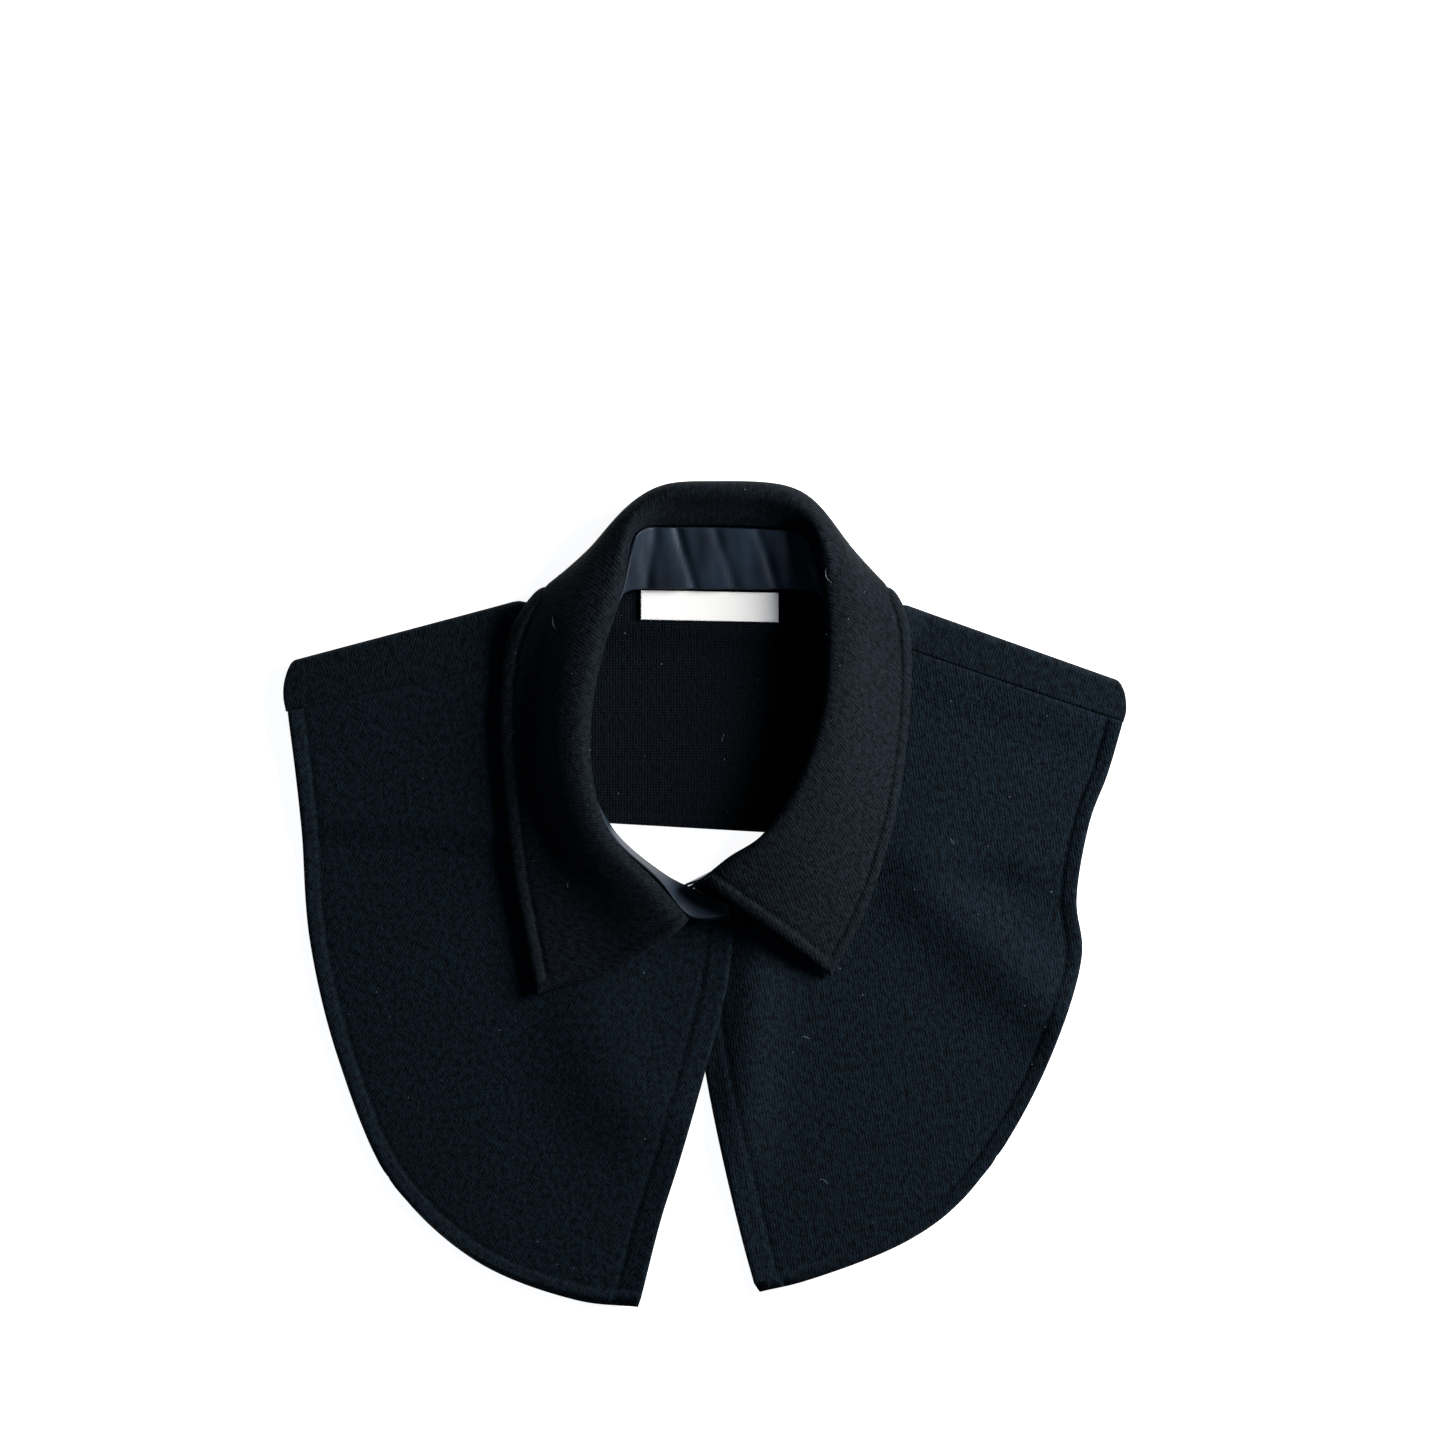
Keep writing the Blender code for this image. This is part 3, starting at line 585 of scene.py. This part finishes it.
def lining_points():
    """The stand's middle surface moved in by half the wall and, behind the neck, by the ease less
    each trough: a bell across the line from its top to its foot."""
    middle = stand_points()
    share = np.linspace(0, 1, STAND_ROWS)
    finer = np.linspace(0, 1, LINING_ROWS)
    low = np.clip(np.searchsorted(share, finer, side="right") - 1, 0, STAND_ROWS - 2)
    part = ((finer - share[low]) / (share[low + 1] - share[low]))[None, :, None]
    middle = middle[:, low] * (1 - part) + middle[:, low + 1] * part
    inward = grid_normals(middle)
    height = np.linalg.norm(middle - middle[:, :1], axis=2)
    height /= height[:, -1:]
    ripple = np.full(height.shape, GATHER_EASE)
    for top_x, foot_x, half_width, depth in GATHERS:
        trough = foot_x + (top_x - foot_x) * height
        ripple -= depth * np.exp(-(((middle[..., 0] - trough) / half_width) ** 2))
    swell = 0.14 * np.sin(middle[..., 0] * 0.9 + height * 2.0) * np.sin(height * math.pi)
    gathered = step_up((middle[..., 1] - GATHER_LINE["y"]) / GATHER_LINE["run"])
    away = LINING_WALL / 2 + SEAM_GAP / 2 + gathered * np.maximum(ripple + swell, 0.0)
    return middle + inward * away[..., None]


lining_middle = lining_points()
lining = make_cloth(
    "stand_lining_satin",
    [lining_middle],
    [lengths_map(lining_middle)],
    LINING_WALL,
    silk_satin("silk_satin"),
    0.5,
)
declare_cloth(lining, "stand_lining")


# Collar leaf: two layers of the wool turned out along a felled edge. It rises from the stand, rolls
# over and lies on the fronts; at the shoulders it goes under the back, round the back of the neck.
LEAF_WALL = 2.2
LEAF_COLUMNS = 345
LEAF_ROWS = 118
LEAF_EDGE_LINE = 5.0  # the felled edge's stitch line, inside the free edge
LEAF_SMOOTHING = 24
# Behind the neck the leaf climbs steeply from the stand to a narrow rim
BACK_DIP = {"y": 147.8, "half": 3.4, "depth": 2.0, "x": 3.5, "reach": 33.0}
LEFT_CURL = {"height": 1.0, "reach": 5.5}  # the left leaf's felled edge stands up a little


def leaf_points():
    """Through the sections: each one a smooth curve from the stand's top over the crest to the
    edge, and the sections joined by smooth curves, then evened along the collar."""
    shares = close_at_ends(LEAF_ROWS, ratio=8.0)
    across = np.array([along(row[1:], shares) for row in SECTIONS])
    knots = spaced_knots(section_column("crest"))
    dense = np.linspace(0, knots[-1], 900)
    length = run_length(through(knots, section_column("crest"), dense))
    places = np.interp(close_at_ends(LEAF_COLUMNS) * length[-1], length, dense)
    points = through(knots, across, places)
    for _ in range(LEAF_SMOOTHING):
        points[1:-1] = 0.25 * points[:-2] + 0.5 * points[1:-1] + 0.25 * points[2:]
    x, y = points[..., 0], points[..., 1]
    near_middle = step_up((BACK_DIP["reach"] - np.abs(x - BACK_DIP["x"])) / 20.0)
    above = step_up((points[..., 2] - 6.0) / 4.0)
    dip = np.exp(-(((y - BACK_DIP["y"]) / BACK_DIP["half"]) ** 2)) * near_middle * above
    points[..., 2] -= BACK_DIP["depth"] * dip
    inside = np.linalg.norm(points - points[:, -1:], axis=2) / LEFT_CURL["reach"]
    left = step_up((-20.0 - x) / 20.0) * step_up((100.0 - y) / 10.0)
    points[..., 2] += LEFT_CURL["height"] * np.clip(1.0 - inside, 0.0, 1.0) ** 1.5 * left
    points[..., 2] = np.maximum(points[..., 2], LEAF_WALL / 2)
    return points


GROOVE_HALF = 1.15  # half width of the trough that a stitch line presses into the wool


def felled(edges, swell, groove):
    """Thickness of a panel with felled edges, each a line and how far inside it the stitches lie:
    thicker by swell between the edge and the stitch line, and pressed in by groove along that."""

    def thickness(points):
        puffed = np.zeros(len(points))
        pressed = np.zeros(len(points))
        for lines, inside in edges:
            edge = nearest_distance(points, lines)
            puffed = np.maximum(puffed, swell * step_up((inside - edge) / GROOVE_HALF))
            pressed = np.maximum(pressed, groove * np.exp(-(((edge - inside) / GROOVE_HALF) ** 2)))
        return 1.0 + puffed - pressed

    return thickness


leaf_middle = leaf_points()
leaf_free_edge = np.concatenate([leaf_middle[0], leaf_middle[:, -1], leaf_middle[-1]])
leaf = make_cloth(
    "leaf",
    [leaf_middle],
    [lengths_map(leaf_middle)],
    LEAF_WALL,
    wool_crepe("wool_crepe_leaf", 0.5, "#121a21"),
    2.8,
    felled([(leaf_free_edge, LEAF_EDGE_LINE)], 0.4, 0.36),
)
declare_cloth(leaf, "collar_leaf")


# The back: one sheet of the wool on the table under the neck, rolled over both shoulders to
# forward shoulder seams. Its inner face and its hem show in the neck.
PANEL_WALL = 1.8
TABLE_Z = PANEL_WALL / 2
FOLD_RADIUS = 1.9
LEFT_FOLD = {"x": -66.0, "y": 113.2, "slope": 0.266}
RIGHT_FOLD = {"x": 74.1, "y": 111.0, "slope": -0.355}
LEFT_SEAM = {"x": -79.0, "y": 87.4, "slope": 0.222}
RIGHT_SEAM = {"x": 78.0, "y": 93.1, "slope": -0.340}
BACK_HEM = {"x": -8.0, "y": 25.6, "slope": -0.058}
BACK_NECK_Y = 116.6
NECK_CORNER_X = {"left": -38.0, "right": 49.0}
FOLD_TUCK = {"left": -72.0, "right": 77.0, "run": 8.0, "depth": 2.8}
UNDER_LEAF = {"middle_x": 3.0, "half_width": 70.0, "edge_y": 104.0, "run": 12.0}
LEAF_LIFT = LEAF_WALL + 0.9
# Outer edges of the back below the shoulder line: height on the table, x
BACK_SIDE_LEFT = ((34.0, -147.0), (60.0, -153.0), (83.0, -154.2))
BACK_SIDE_RIGHT = ((17.5, 139.0), (40.0, 146.5), (62.0, 152.0), (76.0, 154.4))
# How far the rolled shoulder stands out from the fold to the seam: share of the way, x
ROLL_SIDE_LEFT = (
    (0.0, -154.2),
    (0.15, -156.2),
    (0.3, -158.2),
    (0.5, -159.7),
    (0.75, -160.0),
    (1.0, -159.0),
)
ROLL_SIDE_RIGHT = (
    (0.0, 154.4),
    (0.15, 156.8),
    (0.3, 158.9),
    (0.5, 159.8),
    (0.75, 159.9),
    (1.0, 158.8),
)
NECK_MARGIN = 1.7
SHOULDER_SECTION = {"left": 5, "right": 15}
BACK_COLUMNS = 66
BACK_ROWS = 84
BACK_MIDDLE_COLUMNS = 70
BEND_DROP = 3.0
TURN_ROWS = 26
TOP_ROWS = 30
TURN_OUT = 0.3
BACK_EDGE_LINE = 5.0


def line_at(line, x):
    return line["y"] + line["slope"] * (x - line["x"])


def bend_at(side, x):
    """Where the back leaves the table to roll over the shoulder: inside the fold line by half the
    wall and the fold's radius, and drawn in under the leaf."""
    fold = LEFT_FOLD if side == "left" else RIGHT_FOLD
    inward = 1.0 if side == "left" else -1.0
    tuck = FOLD_TUCK["depth"] * step_up(inward * (x - FOLD_TUCK[side]) / FOLD_TUCK["run"])
    return line_at(fold, x) - tuck - PANEL_WALL / 2 - FOLD_RADIUS


def lift_over_leaf(x, y):
    """How far the leaf under the back lifts what lies on it: a smooth step in x and in y."""
    inside_y = step_up((y - UNDER_LEAF["edge_y"]) / UNDER_LEAF["run"] + 1.0)
    reach = UNDER_LEAF["half_width"] + UNDER_LEAF["run"] - np.abs(x - UNDER_LEAF["middle_x"])
    return LEAF_LIFT * inside_y * step_up(reach / UNDER_LEAF["run"])


def moved_out(rows, distance):
    """Rows of x, y moved away from the middle of the neck, square to their own run."""
    run = np.gradient(rows, axis=0)
    out = np.stack([run[:, 1], -run[:, 0]], axis=1)
    out /= np.linalg.norm(out, axis=1, keepdims=True)
    turned = np.sum(out * (rows - np.array(NECK_CENTRE)), axis=1) < 0
    out[turned] *= -1
    return rows + distance * out


def neck_line(side):
    """The edge that a panel's neck follows, from the shoulder to the centre front: x, y."""
    feet = section_column("foot")[:, :2]
    start = SHOULDER_SECTION[side]
    feet = feet[start::-1] if side == "left" else feet[start:]
    return moved_out(feet, NECK_MARGIN)


def back_flat(side):
    """The stretch on the table beside the neck: each column goes straight from the hem to the
    bend, its foot between the armhole edge and the corner of the neck."""
    edge = np.array(BACK_SIDE_LEFT if side == "left" else BACK_SIDE_RIGHT)
    neck_x = NECK_CORNER_X[side]
    u = close_at_ends(BACK_COLUMNS, end=False)[:, None]
    share = close_at_ends(BACK_ROWS, end=False)[None]
    low = line_at(BACK_HEM, edge[0, 1] + (neck_x - edge[0, 1]) * u)
    high = bend_at(side, edge[-1, 1] + (neck_x - edge[-1, 1]) * u)
    last = high - BEND_DROP + (BACK_NECK_Y - bend_at(side, neck_x) + BEND_DROP) * u
    levels = np.concatenate([low + (last - low) * share, high], axis=1)
    edge_x = np.interp(levels, edge[:, 0], edge[:, 1])
    x = edge_x + (neck_x - edge_x) * u
    return np.stack([x, levels, TABLE_Z + lift_over_leaf(x, levels)], axis=2)


def back_roll(side, bend):
    """From the bend round the shoulder fold, a half circle, and along the top to the seam."""
    seam = LEFT_SEAM if side == "left" else RIGHT_SEAM
    roll = np.array(ROLL_SIDE_LEFT if side == "left" else ROLL_SIDE_RIGHT)
    neck_x = NECK_CORNER_X[side]
    turns = np.append(np.linspace(0, math.pi, TURN_ROWS), np.full(TOP_ROWS, math.pi))[None]
    tops = np.append(np.zeros(TURN_ROWS), close_at_ends(TOP_ROWS + 1, start=False)[1:])[None]
    u = close_at_ends(BACK_COLUMNS, end=False)[:, None]
    outward = TURN_OUT * turns / math.pi + (1.0 - TURN_OUT) * tops
    edge_x = through(roll[:, 0], roll[:, 1], outward[0])[None]
    inner_x = neck_x + (neck_line(side)[0, 0] - neck_x) * tops
    x = edge_x + (inner_x - edge_x) * u
    bend_y = bend_at(side, x)
    seam_y = line_at(seam, x) + SEAM_CLOSED / 2
    y = bend_y + FOLD_RADIUS * np.sin(turns) - tops * (bend_y - seam_y)
    lift = lift_over_leaf(x, np.minimum(y, bend_y))
    z = TABLE_Z + lift + FOLD_RADIUS * (1.0 - np.cos(turns))
    over = np.stack([x, y, z], axis=2)
    over[:, 0] = bend
    return over


flats = {side: back_flat(side) for side in ("left", "right")}
rolls = {side: back_roll(side, flat[:, -1]) for side, flat in flats.items()}
left_seamline, right_seamline = flats["left"][-1, :BACK_ROWS], flats["right"][-1, :BACK_ROWS]
share = np.linspace(0, 1, BACK_MIDDLE_COLUMNS)[:, None, None]
under_neck = left_seamline + (right_seamline - left_seamline) * share
under_neck[1:-1, :, 2] = TABLE_Z + lift_over_leaf(under_neck[1:-1, :, 0], under_neck[1:-1, :, 1])
back_blocks = [flats["left"], rolls["left"], flats["right"][::-1], rolls["right"][::-1], under_neck]
back_hem_line = np.concatenate([flats["left"][:, 0], under_neck[:, 0], flats["right"][:, 0]])
back = make_cloth(
    "collar_back",
    back_blocks,
    [block[..., :2] for block in back_blocks],
    PANEL_WALL,
    # The back's inner face, which shows in the neck, gets a darker wool than the fronts: partly the
    # cloth's wrong side and partly painted shade of the hollow inside the neck.
    wool_crepe("wool_crepe_wrong_side_and_painted_shade", 0.0, "#0a1219", 0.3),
    1.0,
    felled([(back_hem_line, BACK_EDGE_LINE)], 0.1, 0.25),
    np.concatenate([roll[:, -1] for roll in rolls.values()]),
    under_side=wool_crepe("wool_crepe_back", 0.3, "#0e1a23"),
)
declare_cloth(back, "back")


# The fronts: two short panels of the wool with an armhole edge, a round hem and a straight centre
# edge, all felled. The viewer's left one laps over the other at the neck.
# Armhole edge and round hem, from the shoulder seam to the hem corner: x, y
LEFT_OUTER = (
    (-158.3, 69.6),
    (-153.5, 28.5),
    (-150.1, -17.1),
    (-139.1, -62.7),
    (-119.3, -108.3),
    (-87.4, -138.7),
    (-48.6, -153.9),
    (-25.4, -156.4),
)
RIGHT_OUTER = (
    (158.5, 65.4),
    (152.9, 46.0),
    (146.3, 28.5),
    (141.2, -1.9),
    (143.3, -22.0),
    (133.8, -55.1),
    (119.3, -85.5),
    (97.6, -115.9),
    (77.0, -131.3),
    (38.0, -146.6),
    (20.8, -150.6),
)
# Centre front edges, from the neck to the hem corner: x, y
LEFT_CENTRE = (
    (11.4, -8.7),
    (8.4, -34.2),
    (-0.8, -70.3),
    (-9.5, -100.7),
    (-16.7, -123.5),
    (-24.2, -153.0),
)
RIGHT_CENTRE = (
    (-7.0, 1.0),
    (-6.5, -8.0),
    (-4.0, -40.0),
    (0.6, -70.3),
    (6.8, -100.7),
    (14.1, -131.1),
    (18.6, -147.5),
)
HEM_SPLIT = 0.62
NECK_SHARE = 0.4
NECK_START = 6.0
HEM_STEP = {"below": 16.0, "run": 13.0}
ROLL_STEP = {"below": 22.0, "run": 20.0}
LAP = {"before": 72.0, "run": 50.0, "lift": PANEL_WALL + 0.8}
LAP_HEM = {"y": -104.0, "run": 26.0}
LAP_NECK = {"y": 13.0, "run": 12.0}
FRONT_COLUMNS = 158
FRONT_ROWS = 236
FRONT_EDGE_LINE = 6.0
CENTRE_LINE = 9.6  # the facing's line, inside the centre edge
EDGE_CURL = {"height": 1.2, "reach": 8.0}  # a front's felled edges stand up a little
CENTRE_CURL = {"upper": -0.9, "lower": 1.2, "y": -84.0, "run": 16.0, "reach": 9.0}  # down on the lap
FOLD_TAPER = {"rate": 3.0, "start": 0.6}
# Soft folds: ends, half width and height, below 0 for a trough
FRONT_FOLDS = {
    "left": (
        {"from": (-50.0, -40.0), "to": (-18.0, -104.0), "half": 25.0, "height": 1.7},
        {"from": (21.0, -4.0), "to": (13.0, -104.0), "half": 15.0, "height": 3.5},
    ),
    "right": (
        {"from": (21.0, -4.0), "to": (13.0, -104.0), "half": 15.0, "height": 3.5},
        {"from": (78.0, 8.0), "to": (143.0, -55.0), "half": 19.0, "height": 3.4},
        {"from": (118.0, 10.0), "to": (146.0, -2.0), "half": 9.0, "height": 0.8},
    ),
}


def fold_height(side, x, y):
    """Height of a front's soft folds: a bell across each line that tapers to its ends."""
    height = np.zeros_like(x)
    rate, start_share = FOLD_TAPER["rate"], FOLD_TAPER["start"]
    for fold in FRONT_FOLDS[side]:
        start = np.array(fold["from"])
        run = np.array(fold["to"]) - start
        length = np.linalg.norm(run)
        run = run / length
        share = ((x - start[0]) * run[0] + (y - start[1]) * run[1]) / length
        off = ((x - start[0]) * -run[1] + (y - start[1]) * run[0]) / fold["half"]
        taper = step_up(share * rate + start_share) * step_up((1.0 - share) * rate + start_share)
        height += fold["height"] * taper * np.exp(-2.0 * off**2)
    return height


def lap_height(x, y):
    """How far the left front is lifted where it lies on the right one."""
    levels = [-row[1] for row in RIGHT_CENTRE]
    under = np.interp(-y, levels, [row[0] for row in RIGHT_CENTRE])
    climb = step_up((x - under + LAP["before"]) / LAP["run"])
    to_hem = step_up((y - LAP_HEM["y"]) / LAP_HEM["run"])
    to_neck = step_up((LAP_NECK["y"] - y) / LAP_NECK["run"])
    return LAP["lift"] * climb * to_hem * to_neck


def front_height(side, x, y):
    """Middle of a front above the table: flat below the back's hem, then on the back, up to the
    seam, each a smooth step, with the folds and the lap on top."""
    seam = LEFT_SEAM if side == "left" else RIGHT_SEAM
    on_back = PANEL_WALL + SEAM_GAP
    to_roll = 2.0 * FOLD_RADIUS - on_back
    above_hem = y - line_at(BACK_HEM, x) + HEM_STEP["below"]
    above_step = y - line_at(seam, x) + ROLL_STEP["below"]
    height = TABLE_Z + on_back * step_up(above_hem / HEM_STEP["run"])
    height += to_roll * step_up(above_step / ROLL_STEP["run"])
    height += lift_over_leaf(x, y) + fold_height(side, x, y)
    if side == "left":
        height += lap_height(x, y)
    return height


def front_inner_edge(side, v):
    """A front's neck edge from the shoulder seam, then its centre edge down to the hem: x, y."""
    centre_edge = LEFT_CENTRE if side == "left" else RIGHT_CENTRE
    seam = LEFT_SEAM if side == "left" else RIGHT_SEAM
    neck = neck_line(side)
    corner = neck[0].copy()
    corner[1] = line_at(seam, corner[0]) - SEAM_CLOSED / 2
    neck = neck[neck[:, 1] < corner[1] - NECK_START]
    if side == "left":
        neck = neck[:-1]
    neck = np.vstack([corner, neck, centre_edge[0]])
    in_neck = v <= NECK_SHARE
    upper = along(neck, v[in_neck] / NECK_SHARE)
    lower = along(centre_edge, (v[~in_neck] - NECK_SHARE) / (1.0 - NECK_SHARE))
    return np.vstack([upper, lower])


def front_points(side):
    """A patch between four edges: the mean of the two ruled surfaces through opposite edges, taken
    together less the one through the four corners, and laid at its height."""
    outer = LEFT_OUTER if side == "left" else RIGHT_OUTER
    v = close_at_ends(FRONT_ROWS)
    share = close_at_ends(FRONT_COLUMNS)
    v[np.argmin(np.abs(v - NECK_SHARE))] = NECK_SHARE
    inner = front_inner_edge(side, v)
    side_edge = along(outer, v * HEM_SPLIT)
    side_edge[0, 1] = line_at(LEFT_SEAM if side == "left" else RIGHT_SEAM, side_edge[0, 0])
    side_edge[0, 1] -= SEAM_CLOSED / 2
    hem = along(outer, HEM_SPLIT + share * (1.0 - HEM_SPLIT))
    inner[-1] = hem[-1]
    top = side_edge[0] + share[:, None] * (inner[0] - side_edge[0])
    u, w = share[:, None, None], v[None, :, None]
    flat = (
        (1 - w) * top[:, None]
        + w * hem[:, None]
        + (1 - u) * side_edge[None]
        + u * inner[None]
        - (1 - u) * (1 - w) * side_edge[0]
        - u * (1 - w) * inner[0]
        - (1 - u) * w * side_edge[-1]
        - u * w * inner[-1]
    )
    height = front_height(side, flat[..., 0], flat[..., 1])
    return np.concatenate([flat, height[..., None]], axis=2)


GRAIN = {"left": 0.55, "right": -0.15}
front_middles = {side: front_points(side) for side in ("right", "left")}
for side, middle in front_middles.items():
    outer_edge = np.concatenate([middle[0], middle[:, -1]])
    centre_edge = middle[-1, middle[-1, :, 1] < -12.0]
    flat_points = middle[..., :2].reshape(-1, 2)
    lower = step_up((CENTRE_CURL["y"] - middle[..., 1]) / CENTRE_CURL["run"] + 0.5)
    rise = CENTRE_CURL["upper"] + (CENTRE_CURL["lower"] - CENTRE_CURL["upper"]) * lower
    if side == "right":
        rise = np.maximum(rise, 0.0)
    for line, height, reach in (
        (outer_edge, EDGE_CURL["height"], EDGE_CURL["reach"]),
        (centre_edge, rise, CENTRE_CURL["reach"]),
    ):
        to_edge = nearest_distance(flat_points, line[:, :2]).reshape(middle.shape[:2])
        middle[..., 2] += height * np.clip(1.0 - to_edge / reach, 0.0, 1.0) ** 1.5
    middle[..., 2] = np.maximum(middle[..., 2], TABLE_Z)
    panel = make_cloth(
        f"front_{side}_panel",
        [middle],
        [middle[..., :2]],
        PANEL_WALL,
        wool_crepe(f"wool_crepe_front_{side}", GRAIN[side], "#0f1c26"),
        2.2,
        felled([(outer_edge, FRONT_EDGE_LINE), (centre_edge, CENTRE_LINE)], 0.3, 0.4),
        middle[:, 0],
    )
    declare_cloth(
        panel, f"front_{side}"
    )


# Lint: pale specks and a few short fibres that have settled on the wool, as on any black cloth. They
# lie where chance puts them, away from the panels' edges.
LINT_SEED = 23
LINT_MARGIN = 0.06  # share of a panel left bare along its edges
SPECK_SIZES = (0.16, 0.34)  # least and greatest half width
FIBRE_LENGTHS = (3.0, 7.0)
FIBRE_HALF = 0.09
FIBRE_STEPS = 14
# On each panel: how many specks, how many fibres
LINT_COUNTS = {"leaf": (34, 4), "right": (24, 3), "left": (16, 2), "back": (12, 1)}


def settled_places(points, wall, count, chance):
    """count places on the upper skin of a grid, each with its unit normal and one direction in it."""
    columns, rows = points.shape[:2]
    i = chance.integers(int(columns * LINT_MARGIN), int(columns * (1 - LINT_MARGIN)), count)
    j = chance.integers(int(rows * LINT_MARGIN), int(rows * (1 - LINT_MARGIN)), count)
    normals = grid_normals(points)[i, j]
    normals *= np.sign(normals[:, 2:])
    turn = chance.uniform(0, 2 * math.pi, count)
    across = np.stack([np.cos(turn), np.sin(turn), np.zeros(count)], axis=1)
    across -= np.sum(across * normals, axis=1, keepdims=True) * normals
    across /= np.linalg.norm(across, axis=1, keepdims=True)
    return points[i, j] + normals * (0.5 * wall + 0.05), normals, across


def make_lint(panels):
    """One mesh of all the lint. A speck is a flat octahedron. A fibre is a square tube along an arc
    of a circle, whose bend is a chance share of a third of a turn."""
    chance = np.random.default_rng(LINT_SEED)
    corners, faces = [], []
    speck = np.array([(1, 0, 0), (0, 1, 0), (-1, 0, 0), (0, -1, 0), (0, 0, 0.6), (0, 0, -0.6)], float)
    sides = [(k, (k + 1) % 4, 4) for k in range(4)] + [((k + 1) % 4, k, 5) for k in range(4)]
    for name, (points, wall) in panels.items():
        specks, fibres = LINT_COUNTS[name]
        places, normals, across = settled_places(points, wall, specks + fibres, chance)
        beside = np.cross(normals, across)
        for k in range(specks + fibres):
            axes = np.stack([across[k], beside[k], normals[k]])
            first = len(corners)
            if k < specks:
                size = chance.uniform(*SPECK_SIZES) * np.array([1.0, chance.uniform(0.5, 1.0), 0.6])
                corners.extend(places[k] + (speck * size) @ axes)
                faces.extend([tuple(first + c for c in side) for side in sides])
                continue
            length = chance.uniform(*FIBRE_LENGTHS)
            bend = chance.uniform(-1.0, 1.0) * 2 * math.pi / 3
            heading = bend * np.linspace(-0.5, 0.5, FIBRE_STEPS)
            step = length / FIBRE_STEPS
            line = np.stack([np.cumsum(np.cos(heading)), np.cumsum(np.sin(heading))], axis=1) * step
            thin = FIBRE_HALF * np.sin(np.linspace(0.25, math.pi - 0.25, FIBRE_STEPS))
            for (x, y), angle, half in zip(line, heading, thin):
                side_way = np.array([-math.sin(angle), math.cos(angle), 0.0])
                rise = np.array([0.0, 0.0, 1.0])
                for corner in (side_way, rise, -side_way, -rise):
                    corners.append(places[k] + (np.array([x, y, 0.0]) + corner * half) @ axes)
            for ring in range(FIBRE_STEPS - 1):
                base = first + 4 * ring
                for c in range(4):
                    after = (c + 1) % 4
                    faces.append((base + c, base + after, base + 4 + after, base + 4 + c)[::-1])
            faces.append(tuple(first + c for c in range(4)))
            last = first + 4 * (FIBRE_STEPS - 1)
            faces.append(tuple(last + c for c in range(4))[::-1])
    mesh = bpy.data.meshes.new("lint")
    mesh.from_pydata((np.array(corners) * MM).tolist(), [], faces)
    piece = bpy.data.objects.new("lint", mesh)
    bpy.context.scene.collection.objects.link(piece)
    return piece


lint = make_lint(
    {
        "leaf": (leaf_middle, LEAF_WALL),
        "right": (front_middles["right"], PANEL_WALL),
        "left": (front_middles["left"], PANEL_WALL),
        "back": (under_neck, PANEL_WALL),
    }
)
pale_fibre, tree, surface = new_material("pale_fibre")
tints = add_node(tree, "TexNoise", Scale=90.0)
colors = add_node(tree, "ValToRGB", [(tints.outputs["Fac"], "Fac")])
colors.color_ramp.elements[0].color = (*linear("#3a444e"), 1.0)
colors.color_ramp.elements[1].color = (*linear("#7f878e"), 1.0)
shader = add_node(tree, "BsdfPrincipled", [(colors.outputs["Color"], "Base Color")], Roughness=0.8)
tree.links.new(shader.outputs["BSDF"], surface)
lint.data.materials.append(pale_fibre)
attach(lint, "root")


# Label: white woven tape with its ends turned under, sewn at the back of the neck; here drawn as a flat
# strip. It is bare.
LABEL = {"left": -24.5, "right": 27.9, "top": 115.8, "height": 11.3, "skew": -0.020}
LABEL_WALL = 1.0
LABEL_COLUMNS = 150
LABEL_ROWS = 48


def woven_tape(name):
    """Damask-woven polyester tape: bright white, smooth, with fine ribs across its length."""
    material, tree, surface = new_material(name)
    cloth = add_node(tree, "UVMap", settings={"uv_map": "cloth"})
    ribs = add_node(
        tree,
        "TexWave",
        [(cloth.outputs["UV"], "Vector")],
        settings={"wave_type": "BANDS", "bands_direction": "Y"},
        Scale=520.0,
        Distortion=0.4,
    )
    colors = add_node(tree, "ValToRGB", [(ribs.outputs["Fac"], "Fac")])
    colors.color_ramp.elements[0].color = (*linear("#f4f5f3"), 1.0)
    colors.color_ramp.elements[1].color = (*linear("#ffffff"), 1.0)
    bump = add_node(tree, "Bump", [(ribs.outputs["Fac"], "Height")], Strength=0.2, Distance=0.0001)
    shader = add_node(
        tree,
        "BsdfPrincipled",
        [(colors.outputs["Color"], "Base Color"), (bump.outputs["Normal"], "Normal")],
        Roughness=0.6,
    )
    tree.links.new(shader.outputs["BSDF"], surface)
    return material


across = close_at_ends(LABEL_COLUMNS, ratio=6.0, reach=3.0)[:, None]
down = close_at_ends(LABEL_ROWS, ratio=6.0, reach=3.0)[None]
label_x = LABEL["left"] + (LABEL["right"] - LABEL["left"]) * across
label_y = LABEL["top"] + LABEL["skew"] * (label_x - LABEL["left"]) - LABEL["height"] * down
label_z = TABLE_Z + PANEL_WALL / 2 + SEAM_GAP + LABEL_WALL / 2 + LEAF_LIFT
label_middle = np.stack(np.broadcast_arrays(label_x, label_y, label_z), axis=2)
label = make_cloth(
    "woven_label",
    [label_middle],
    [label_middle[..., :2]],
    LABEL_WALL,
    woven_tape("white_damask_tape"),
    0.4,
    flip=True,
)
declare_cloth(label, "label")
